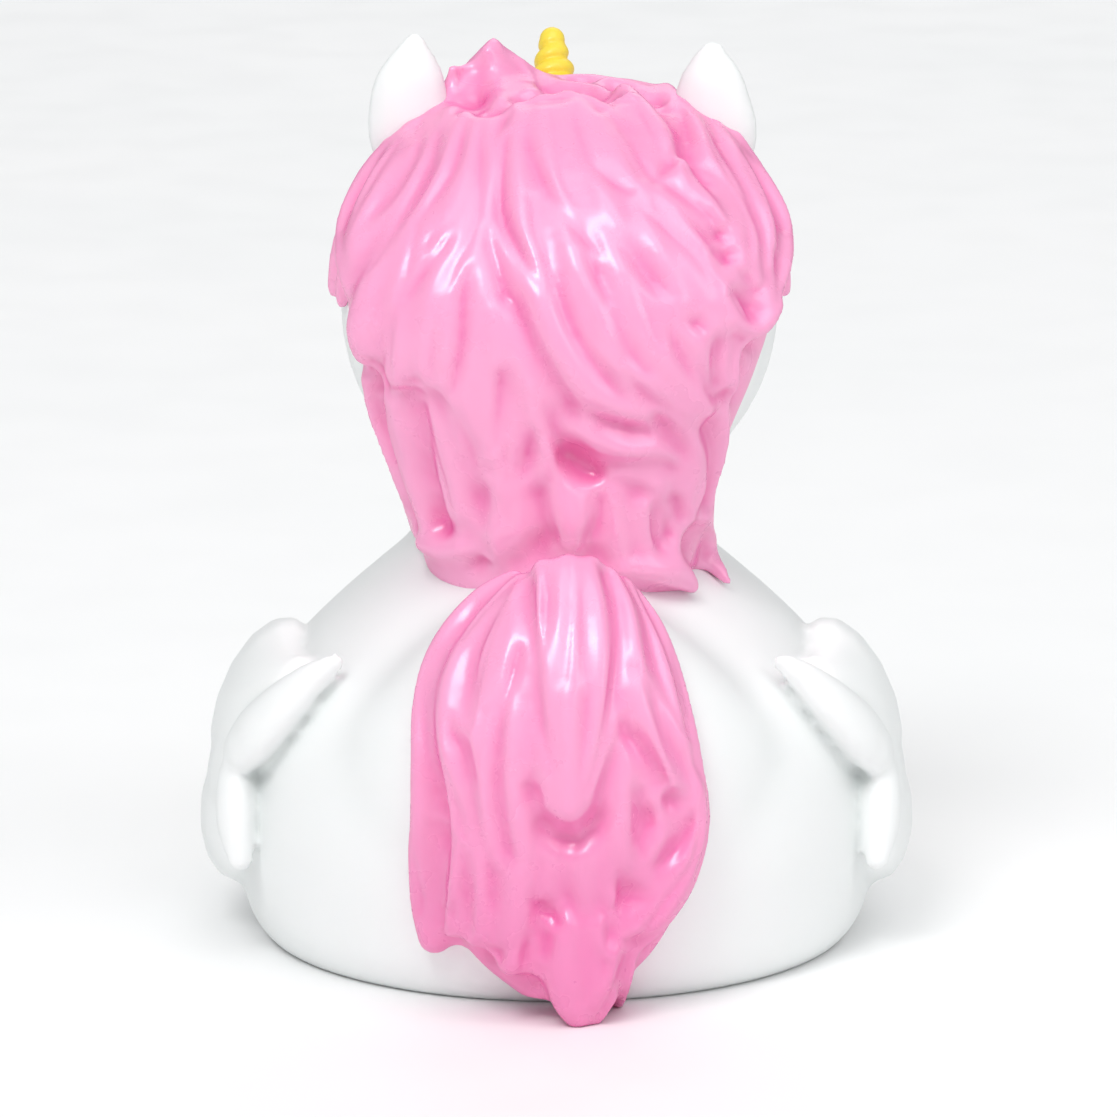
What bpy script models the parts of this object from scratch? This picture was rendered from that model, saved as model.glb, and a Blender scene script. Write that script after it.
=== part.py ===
"""Bath duck dressed as a unicorn: one piece of moulded vinyl, painted in fields of colour.

The duck faces +Y and stands on z = 0. Plain forms (body, rump, head, wings, ears, horn, bill) are
lofts and ellipsoids. The hair is made of locks: tapered oval bars that lie on those forms. A lock's
route is drawn on a sheet held across the back view, or round the head in degrees, and is then laid
on the form that it covers. The locks are blended into a soft mass, and grooves drawn on the same
sheet are pressed into it. Everything is fused into one skin at the end, and each face gets the
paint of the form that it came from.
"""

import math

import bmesh
import bpy
import numpy as np
from mathutils import Quaternion, Vector
from mathutils.bvhtree import BVHTree

MM = 0.001


def mm(*lengths):
    """A point or a size, from millimetres to metres."""
    return Vector([length * MM for length in lengths])


# Drawing sheet of the back view: full size, square to the line of sight, with its middle here.
# A place on it is (right, down) in millimetres from its top left corner.
SHEET_MIDDLE = mm(0.0, 0.0, 37.7)
SHEET_HALF = 55.85  # in millimetres, like every place on the sheet
SIGHT_TILT = math.radians(12.0)
SIGHT_DISTANCE = 700.0 * MM

# Body rings in millimetres, bottom to top: height, half width, reach to the front and to the back.
BODY_RINGS = (
    (-3.0, 23.0, 25.0, 23.0),
    (-0.8, 28.2, 30.5, 28.0),
    (1.0, 30.2, 32.5, 30.8),
    (3.5, 31.4, 34.0, 32.2),
    (8.0, 32.1, 36.0, 33.4),
    (14.0, 32.1, 37.4, 34.5),
    (20.0, 31.0, 37.6, 34.0),
    (25.0, 28.9, 36.0, 31.6),
    (29.0, 26.0, 33.0, 28.2),
    (33.0, 22.0, 29.0, 24.0),
    (36.5, 18.0, 25.0, 19.6),
    (39.5, 14.6, 21.5, 15.6),
    (43.0, 13.0, 19.5, 12.0),
    (47.0, 12.6, 18.5, 10.0),
    (51.0, 9.0, 15.0, 6.0),
)
BODY_SIDE_SHIFT = -0.2

# Rump rings, from inside the body up to the root of the tail: height, half width, front, back.
RUMP_RINGS = (
    (6.0, 18.0, 10.0, 34.0),
    (12.0, 21.0, 8.0, 35.8),
    (18.0, 22.6, 6.0, 36.6),
    (24.0, 21.8, 2.0, 36.4),
    (29.0, 18.0, -4.0, 35.4),
    (33.0, 14.0, -9.0, 34.0),
    (36.5, 10.0, -14.0, 32.4),
    (39.5, 6.4, -18.0, 30.6),
    (41.5, 3.0, -21.0, 28.4),
)

HEAD_MIDDLE = mm(0.1, 6.0, 62.4)
HEAD_HALF = mm(21.9, 21.6, 20.8)

# Wings: two pads seen from the side, as (forward, height, half width), and two feather tips behind
# them, drawn on the left half of the sheet. The right wing is the left one mirrored.
WING_PADS = (
    (3.3, ((4.5, 27.4, 5.0), (4.0, 22.0, 10.5), (2.5, 15.0, 12.0), (1.5, 8.5, 8.0))),
    (4.1, ((12.5, 20.5, 4.0), (8.0, 22.0, 7.0), (2.0, 23.2, 8.6), (-4.0, 24.4, 7.2), (-9.5, 26.6, 3.6))),
    (3.8, ((11.0, 12.0, 3.6), (6.0, 11.8, 6.0), (0.0, 11.6, 7.0), (-5.5, 11.8, 5.4), (-9.0, 12.4, 3.0))),
)
FEATHER_TIPS = (
    ((34.0, 65.9, 0.4), (31.2, 67.8, 1.8), (28.2, 70.6, 3.0), (25.4, 73.6, 3.5), (24.0, 75.2, 2.6)),
    ((23.4, 77.0, 1.8), (23.4, 79.6, 2.7), (23.5, 82.6, 2.4), (24.1, 86.2, 1.0)),
)
FEATHER_LIFT = 2.3
FEATHER_THICK = 0.9 * MM
FEATHER_THICK_SHARE = 0.35

# Ears, in the upright plane EAR_PLANE: right and down on the sheet, half width.
EAR_PLANE = 6.5 * MM
EAR_THICK_SHARE = 0.62
LEFT_EAR = (
    (42.6, 17.0, 4.0), (41.2, 13.5, 4.4), (40.9, 10.0, 4.0), (41.2, 7.2, 3.3), (41.4, 5.0, 1.9),
    (41.5, 3.9, 1.1),
)
RIGHT_EAR = (
    (70.4, 17.0, 4.0), (71.4, 13.5, 4.4), (71.2, 10.0, 3.9), (71.2, 7.4, 3.1), (71.2, 5.6, 1.9),
    (71.3, 4.6, 1.1),
)

# Horn: a cone leaning forward, with a roll that climbs round it.
HORN_ROOT = mm(-0.3, 17.0, 77.6)
HORN_TIP = mm(-0.65, 22.3, 86.9)
HORN_ROOT_RADIUS = 4.2 * MM
HORN_TIP_RADIUS = 1.3 * MM
HORN_PITCH = 1.83 * MM
HORN_GROOVE = 0.7 * MM
HORN_START = 0.32  # where the first roll begins, as a share of a turn
HORN_SIDES = 40
HORN_STEPS_A_ROLL = 10

# Bill: an upper lip, and a smaller lower one given as shares of the upper.
BILL_MIDDLE = mm(0.1, 28.7, 57.6)
BILL_HALF_WIDTH = 8.6 * MM
BILL_REACH = 10.5 * MM
BILL_LIP = 2.7 * MM
BILL_TILT = math.radians(8.0)
BILL_UPPER_RISE = 0.5
BILL_LOWER_DROP = 0.8
BILL_LOWER_SHARES = (0.82, 0.84, 0.85)
BILL_LOWER_TILT = math.radians(-3.2)

# Eyes: low domes on the face, in degrees round and above the head's middle.
EYE_TURN = 28.0
EYE_RISE = 12.0
EYE_HALF = mm(3.1, 1.6, 4.2)
EYE_STAND = 0.7 * MM

# Under-hair: the form that the locks of the mane lie on. Height, half width, front, back.
SCALP_RINGS = (
    (36.0, 11.0, 2.0, 17.5),
    (39.0, 13.4, 3.0, 18.0),
    (43.0, 13.6, 3.0, 17.6),
    (48.0, 15.0, 3.0, 17.6),
    (53.0, 17.0, 4.0, 18.2),
    (58.0, 19.0, 4.0, 18.9),
    (64.0, 20.8, 5.0, 18.9),
    (70.0, 20.8, 8.0, 16.6),
    (75.0, 18.6, 12.0, 12.4),
    (78.6, 15.4, 15.6, 8.2),
    (81.6, 10.4, 15.6, 3.2),
    (83.4, 5.0, 12.4, -1.0),
)
SCALP_SIDE_SHIFT = 0.2

# Under-tail: height, half width, front, back.
DOCK_RINGS = (
    (2.0, 4.0, -30.0, 36.6),
    (6.0, 8.6, -30.0, 37.2),
    (12.0, 11.6, -30.0, 37.6),
    (20.0, 12.4, -30.0, 38.0),
    (27.0, 11.6, -28.0, 38.0),
    (33.0, 9.4, -24.0, 36.4),
    (38.0, 6.4, -22.0, 33.6),
    (41.4, 3.4, -22.0, 30.4),
)
DOCK_SIDE_SHIFT = 0.3

# Locks: how far the middle of the bar stands off the form below, then its route on the sheet as
# (right, down, half width).
MANE_LOCKS = (
    # Left of the crown, from the edge inwards
    (1.0, (
        (40.2, 12.8, 0.6), (37.4, 16.8, 0.9), (35.0, 21.0, 1.1), (34.5, 25.0, 1.2), (34.9, 28.4, 0.8),
        (35.0, 29.8, 0.3),
    )),
    (0.9, (
        (41.8, 12.4, 1.1), (39.6, 16.0, 1.8), (37.7, 20.0, 2.2), (36.3, 24.0, 2.1), (35.7, 27.0, 1.1),
        (35.2, 28.8, 0.4),
    )),
    (0.9, (
        (43.6, 11.2, 1.2), (42.4, 14.5, 1.5), (40.4, 18.5, 1.7), (38.3, 22.4, 1.5), (37.0, 25.3, 0.8),
        (36.6, 26.6, 0.3),
    )),
    (1.1, (
        (45.4, 11.4, 1.1), (43.8, 15.0, 1.5), (41.4, 20.0, 1.8), (39.0, 25.0, 1.8), (37.3, 29.5, 2.0),
        (36.4, 33.0, 2.1), (36.6, 35.2, 1.6),
    )),
    (1.5, (
        (46.6, 12.0, 1.1), (45.0, 16.5, 1.4), (42.8, 21.5, 1.6), (41.2, 26.5, 1.8), (40.0, 31.5, 1.8),
        (39.7, 35.5, 1.7), (40.0, 38.0, 1.3),
    )),
    (1.5, (
        (48.0, 12.5, 1.0), (46.5, 17.0, 1.4), (44.9, 22.0, 1.5), (43.8, 27.0, 1.8), (43.2, 32.0, 1.8),
        (42.8, 36.0, 1.6), (42.8, 38.6, 1.0),
    )),
    (1.5, (
        (49.4, 12.5, 0.9), (48.6, 17.5, 1.3), (47.4, 22.5, 1.6), (46.0, 27.5, 1.7), (45.2, 32.5, 1.6),
        (44.9, 37.0, 1.4), (45.4, 41.0, 1.2), (46.6, 45.0, 0.9), (47.6, 48.0, 0.4),
    )),
    (1.2, (
        (50.3, 13.5, 0.8), (49.2, 18.0, 1.1), (48.2, 22.5, 1.2), (47.8, 27.0, 1.5), (47.5, 31.5, 1.4),
        (47.1, 36.0, 1.4), (46.9, 40.0, 1.3), (47.4, 44.0, 1.3), (48.6, 48.0, 1.1),
    )),
    (1.2, (
        (50.0, 19.0, 0.6), (49.4, 23.5, 1.0), (49.4, 28.5, 1.3), (49.7, 33.0, 1.4), (49.6, 37.5, 1.3),
        (49.3, 42.0, 1.3), (49.8, 46.5, 1.3), (50.4, 50.0, 1.0),
    )),
    # Round the parting
    (1.1, ((50.3, 20.8, 0.7), (50.9, 24.6, 1.1), (52.0, 28.0, 1.2), (54.0, 30.8, 0.9), (56.0, 32.6, 0.4))),
    (1.0, ((50.6, 30.0, 0.8), (51.8, 35.0, 1.4), (53.6, 40.0, 1.5), (54.6, 44.0, 1.5), (54.8, 47.4, 1.0))),
    (0.9, ((50.9, 38.0, 0.8), (51.3, 42.5, 1.2), (51.8, 47.0, 1.3), (52.2, 50.0, 0.9))),
    # Long sweeping locks, from the crown to the lower right
    (1.4, (
        (51.8, 11.2, 1.2), (51.4, 16.0, 1.6), (51.9, 20.6, 1.8), (53.0, 25.5, 1.9), (54.2, 30.0, 2.0),
        (55.9, 34.5, 2.2), (58.0, 38.0, 2.3), (60.9, 40.3, 1.9), (64.0, 41.6, 1.0),
    )),
    (1.5, (
        (54.2, 10.4, 1.3), (54.9, 14.5, 1.7), (56.0, 19.0, 1.9), (57.2, 23.5, 1.9), (58.4, 28.0, 2.0),
        (60.0, 32.5, 2.1), (62.3, 36.5, 2.1), (65.6, 39.6, 1.7), (69.0, 41.8, 0.8),
    )),
    (1.6, (
        (56.8, 9.9, 1.2), (58.0, 13.5, 1.6), (59.6, 18.0, 1.8), (61.2, 22.5, 1.9), (62.5, 27.0, 1.9),
        (64.1, 31.5, 1.9), (66.4, 35.5, 1.8), (69.0, 38.6, 1.4), (70.9, 41.0, 0.7),
    )),
    (1.7, (
        (58.8, 10.2, 0.9), (60.6, 13.2, 1.3), (62.8, 17.2, 1.6), (64.6, 21.8, 1.7), (66.0, 26.5, 1.7),
        (67.8, 31.0, 1.6), (69.8, 34.8, 1.3), (71.0, 37.4, 0.7),
    )),
    (1.8, (
        (60.5, 10.8, 0.6), (62.2, 13.2, 0.8), (64.4, 16.6, 1.1), (66.2, 20.4, 1.4), (68.0, 25.0, 1.5),
        (70.0, 29.6, 1.4), (72.0, 33.0, 0.9),
    )),
    (2.0, (
        (66.6, 18.8, 0.7), (68.2, 22.0, 1.3), (70.0, 25.8, 1.5), (72.2, 29.6, 1.5), (74.3, 32.3, 1.4),
        (76.3, 32.5, 1.1), (77.9, 30.4, 0.7),
    )),
    # Right of the crown
    (1.6, ((62.4, 9.2, 1.1), (64.2, 11.4, 1.5), (65.9, 14.0, 1.6), (66.8, 16.4, 1.2))),
    (2.2, ((67.9, 16.8, 1.2), (68.6, 18.6, 1.4), (70.4, 20.6, 1.4), (72.2, 22.4, 0.8))),
    (0.9, ((70.4, 20.2, 1.7), (71.8, 23.0, 2.1), (72.8, 25.6, 1.9), (73.6, 28.2, 1.5))),
    (1.5, (
        (66.6, 9.0, 0.9), (68.4, 11.5, 1.3), (69.9, 14.2, 1.5), (71.6, 16.9, 1.6), (73.5, 19.8, 1.5),
        (74.7, 22.8, 1.3), (74.8, 25.6, 1.1), (73.4, 27.2, 1.4),
    )),
    (1.5, (
        (70.2, 11.2, 0.8), (72.5, 14.6, 1.2), (74.7, 18.2, 1.3), (76.3, 21.8, 1.2), (76.7, 25.4, 1.1),
        (76.1, 28.4, 1.2),
    )),
    (1.3, (
        (73.2, 13.4, 0.8), (75.2, 16.6, 1.1), (77.0, 19.8, 1.2), (78.2, 23.0, 1.2), (78.3, 26.4, 1.1),
        (77.3, 29.2, 1.1),
    )),
    (0.8, ((75.4, 16.4, 0.5), (77.4, 19.6, 0.8), (78.5, 22.8, 0.9), (78.2, 25.6, 0.4))),
    (1.2, ((73.0, 33.6, 0.9), (73.0, 36.0, 1.1), (73.1, 38.6, 1.0))),
    (1.2, ((70.7, 33.6, 0.8), (71.0, 36.0, 0.9), (71.4, 38.6, 0.5))),
    # Lower right
    (0.6, ((72.2, 40.0, 0.7), (72.2, 43.0, 0.9), (71.7, 46.0, 0.9), (70.9, 49.0, 0.8), (70.6, 51.5, 0.8))),
    (0.9, ((68.2, 42.2, 1.0), (69.7, 45.2, 1.1), (69.9, 48.0, 1.0), (69.2, 50.6, 0.8))),
    (0.9, ((65.8, 42.4, 1.0), (67.8, 45.0, 0.9), (69.0, 46.8, 0.5))),
    (1.3, ((57.8, 42.6, 0.9), (60.2, 44.0, 1.4), (63.0, 45.0, 1.5), (65.8, 45.2, 1.1), (67.4, 45.7, 0.5))),
    (0.9, ((60.0, 48.6, 0.7), (63.2, 48.3, 1.1), (66.2, 48.6, 1.2), (68.4, 50.2, 1.0), (68.9, 52.0, 0.6))),
    # Lower left, under the step
    (0.5, ((36.7, 37.6, 0.7), (37.4, 41.0, 0.8), (38.9, 45.0, 0.8), (40.6, 49.5, 0.7), (41.9, 53.4, 0.6))),
    (0.5, ((39.7, 39.4, 1.5), (40.4, 43.0, 1.8), (41.4, 47.0, 1.6), (42.3, 50.0, 1.4), (42.9, 52.2, 1.2))),
    (0.6, ((43.4, 40.4, 1.0), (44.0, 43.5, 1.5), (45.0, 46.8, 1.8), (45.8, 49.6, 1.8), (46.3, 51.4, 1.6))),
    # Ends over the back
    (0.9, ((42.2, 54.2, 0.9), (44.0, 54.9, 1.2), (46.2, 54.8, 1.2))),
    (1.0, ((49.6, 51.0, 1.3), (49.6, 53.4, 1.7), (49.2, 55.3, 1.4))),
    (0.9, ((52.0, 50.4, 1.2), (51.9, 52.6, 1.3), (51.2, 54.3, 0.9))),
    (1.1, ((56.0, 48.2, 0.9), (56.6, 50.0, 1.8), (57.0, 52.2, 2.2), (57.1, 53.8, 1.6))),
    (0.8, ((61.2, 49.6, 1.1), (61.3, 52.2, 1.3), (61.8, 54.8, 1.1))),
    (0.9, ((64.3, 50.4, 1.3), (64.5, 52.6, 1.3), (65.0, 54.6, 1.0))),
    (0.7, ((66.9, 51.4, 0.7), (67.3, 54.2, 0.9))),
    (1.0, ((62.4, 56.8, 0.9), (65.4, 56.9, 1.4), (67.8, 57.4, 1.6), (69.4, 58.8, 0.7))),
    (1.0, ((70.4, 51.6, 0.7), (70.8, 53.6, 0.9), (70.9, 55.2, 0.8))),
    (0.8, ((71.0, 55.6, 0.8), (71.9, 57.0, 0.8), (73.0, 58.4, 0.3))),
    # Curls on the crown, behind the horn
    (0.4, ((50.2, 10.8, 1.3), (49.9, 9.0, 1.9), (49.6, 7.0, 1.8), (49.4, 5.2, 1.2), (49.4, 4.3, 0.7))),
    (0.6, ((46.2, 10.2, 0.8), (46.6, 8.2, 1.0), (47.6, 6.4, 0.9), (48.8, 5.1, 0.6))),
    (0.6, ((53.2, 9.4, 0.9), (52.4, 7.6, 1.0), (51.2, 6.1, 0.9), (50.2, 5.2, 0.6))),
    (0.4, ((45.3, 6.8, 0.6), (45.4, 8.8, 0.7))),
    (0.6, ((51.8, 6.3, 0.7), (53.4, 7.7, 0.9), (55.6, 8.6, 0.9), (58.0, 8.9, 0.8), (60.2, 9.2, 0.6))),
    (0.6, ((60.4, 8.8, 0.6), (62.2, 8.5, 0.7), (64.2, 8.8, 0.7), (66.4, 9.2, 0.6))),
    (0.6, ((42.0, 10.6, 0.6), (43.4, 9.6, 0.7), (45.4, 9.6, 0.7))),
)

TAIL_LOCKS = (
    # Left locks, from the edge inwards
    (1.0, (
        (51.6, 57.6, 0.7), (48.6, 59.4, 1.1), (45.6, 62.6, 1.3), (43.5, 66.4, 1.4), (42.5, 71.0, 1.4),
        (42.3, 76.0, 1.3), (42.2, 81.0, 1.3), (42.2, 86.0, 1.5), (42.7, 90.5, 1.7), (43.5, 93.9, 1.7),
    )),
    (1.2, (
        (52.0, 58.0, 0.7), (49.6, 60.6, 1.1), (47.0, 64.4, 1.4), (45.2, 69.0, 1.6), (45.0, 74.0, 1.4),
        (45.7, 79.0, 1.1), (46.2, 84.0, 1.1), (45.7, 89.0, 1.0), (45.1, 93.0, 0.8),
    )),
    (1.4, (
        (52.3, 58.4, 0.6), (50.5, 62.0, 1.0), (48.8, 66.4, 1.3), (47.9, 71.4, 1.4), (48.3, 77.0, 1.4),
        (48.6, 83.0, 1.3), (48.4, 88.6, 1.3), (47.7, 93.6, 1.2),
    )),
    (1.4, (
        (52.7, 58.8, 0.6), (51.7, 62.6, 1.0), (50.9, 67.4, 1.3), (51.0, 73.0, 1.5), (51.4, 79.0, 1.6),
        (51.9, 85.0, 1.7), (51.6, 91.0, 1.9), (51.2, 96.2, 1.6),
    )),
    # Long lobe down the middle, over the others
    (0.8, ((53.2, 58.0, 1.0), (52.8, 63.0, 1.3), (53.2, 69.0, 1.4), (53.6, 75.0, 1.5), (53.8, 81.0, 1.5))),
    (0.8, ((60.4, 58.0, 1.0), (61.4, 63.0, 1.3), (61.8, 69.0, 1.4), (61.4, 75.0, 1.5), (60.6, 80.0, 1.5))),
    (2.0, (
        (54.4, 56.9, 1.2), (54.1, 61.0, 1.5), (54.6, 66.0, 1.4), (54.9, 71.0, 1.3), (54.9, 76.0, 1.4),
        (55.2, 80.2, 1.5),
    )),
    (2.3, (
        (56.8, 56.5, 1.3), (56.9, 61.0, 1.4), (57.0, 66.0, 1.4), (56.9, 71.0, 1.5), (56.8, 76.0, 1.7),
        (56.9, 80.8, 1.9),
    )),
    (2.0, (
        (59.0, 56.7, 1.3), (59.6, 61.0, 1.5), (60.1, 66.0, 1.5), (60.0, 71.0, 1.4), (59.2, 76.0, 1.3),
        (58.4, 80.2, 1.2),
    )),
    # Right locks
    (1.8, (
        (60.9, 57.4, 0.8), (62.4, 61.0, 1.2), (63.3, 65.4, 1.3), (64.2, 70.0, 1.2), (65.6, 74.6, 1.0),
        (67.0, 78.6, 0.6),
    )),
    (1.4, (
        (62.3, 58.2, 0.7), (64.0, 61.4, 1.0), (65.6, 66.0, 1.2), (67.0, 71.0, 1.2), (68.4, 76.0, 1.0),
        (69.6, 80.0, 1.1), (69.4, 84.0, 1.2), (67.9, 88.0, 1.4), (65.6, 91.4, 1.5), (63.9, 93.2, 1.2),
    )),
    (1.0, (
        (63.4, 59.4, 0.7), (65.4, 62.6, 1.0), (67.1, 67.0, 1.1), (68.5, 72.0, 1.0), (69.6, 77.0, 0.8),
        (70.2, 81.0, 0.8), (69.9, 84.6, 0.8), (68.6, 88.6, 0.8), (66.6, 91.8, 0.7), (64.6, 94.0, 0.6),
    )),
    (1.0, ((61.4, 71.6, 0.5), (60.6, 75.4, 0.6), (59.8, 79.4, 0.5), (58.6, 83.0, 0.4))),
    # Under the middle lobe
    (0.8, ((62.4, 73.0, 0.9), (62.2, 78.0, 1.5), (62.0, 83.0, 1.8), (61.6, 88.0, 1.4), (61.2, 91.0, 0.8))),
    (0.6, ((58.4, 82.0, 1.6), (58.4, 86.0, 1.9), (58.4, 90.0, 1.6), (58.4, 93.0, 1.2))),
    (0.6, ((55.0, 81.0, 1.3), (55.0, 86.0, 1.5), (54.6, 90.0, 1.2))),
    (0.4, ((65.0, 80.0, 1.4), (65.4, 84.0, 1.6), (64.6, 87.6, 1.2))),
    # Bottom lock
    (1.6, ((56.6, 92.6, 1.4), (56.4, 96.0, 1.8), (56.9, 99.4, 2.0), (57.9, 101.4, 1.6))),
    (1.6, ((60.4, 92.6, 1.4), (60.6, 96.0, 1.8), (60.2, 99.0, 1.8), (59.2, 101.4, 1.4))),
    (1.0, ((63.2, 94.4, 0.7), (62.6, 97.4, 0.8), (61.4, 100.4, 0.9), (60.0, 102.0, 0.7))),
)

# Locks on the front and sides of the head, as (degrees from the face to the right, degrees above the
# head's middle, half width). Each is made on both sides.
FACE_LOCKS = (
    (0.5, ((8.0, 66.0, 0.8), (24.0, 60.0, 1.4), (44.0, 50.0, 1.7), (60.0, 36.0, 1.4), (68.0, 24.0, 0.6))),
    (0.6, (
        (6.0, 74.0, 0.8), (36.0, 68.0, 1.6), (62.0, 54.0, 2.0), (76.0, 36.0, 1.8), (82.0, 18.0, 1.3),
        (84.0, 6.0, 0.5),
    )),
    (0.6, ((60.0, 76.0, 1.2), (84.0, 62.0, 2.0), (92.0, 42.0, 2.2), (94.0, 22.0, 1.8), (92.0, 4.0, 0.9))),
    (0.5, (
        (100.0, 60.0, 1.6), (106.0, 42.0, 2.2), (108.0, 24.0, 2.0), (106.0, 10.0, 1.2),
        (104.0, 2.0, 0.5),
    )),
)

# Locks: half height from half width, how many corners a section has, and how far apart sections are,
# in millimetres on the sheet and in degrees round the head.
LOCK_LEAST_HEIGHT = 0.4 * MM
LOCK_HEIGHT_SHARE = 0.62
LOCK_SIDES = 14
LOCK_STEP = 0.9
FACE_STEP = 3.0
LAY_EVENING = 3
OUT_EVENING = 2
SETTLE_NEAR = 0.01 * MM
CAP_ANGLES = (math.radians(20.0), math.radians(45.0), math.radians(70.0))

# Plain forms: corners round a loft, rings between two of its sizes, and corners round an ellipsoid.
LOFT_SIDES = 64
LOFT_BETWEEN = 5
BALL_SIDES = 48

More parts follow.
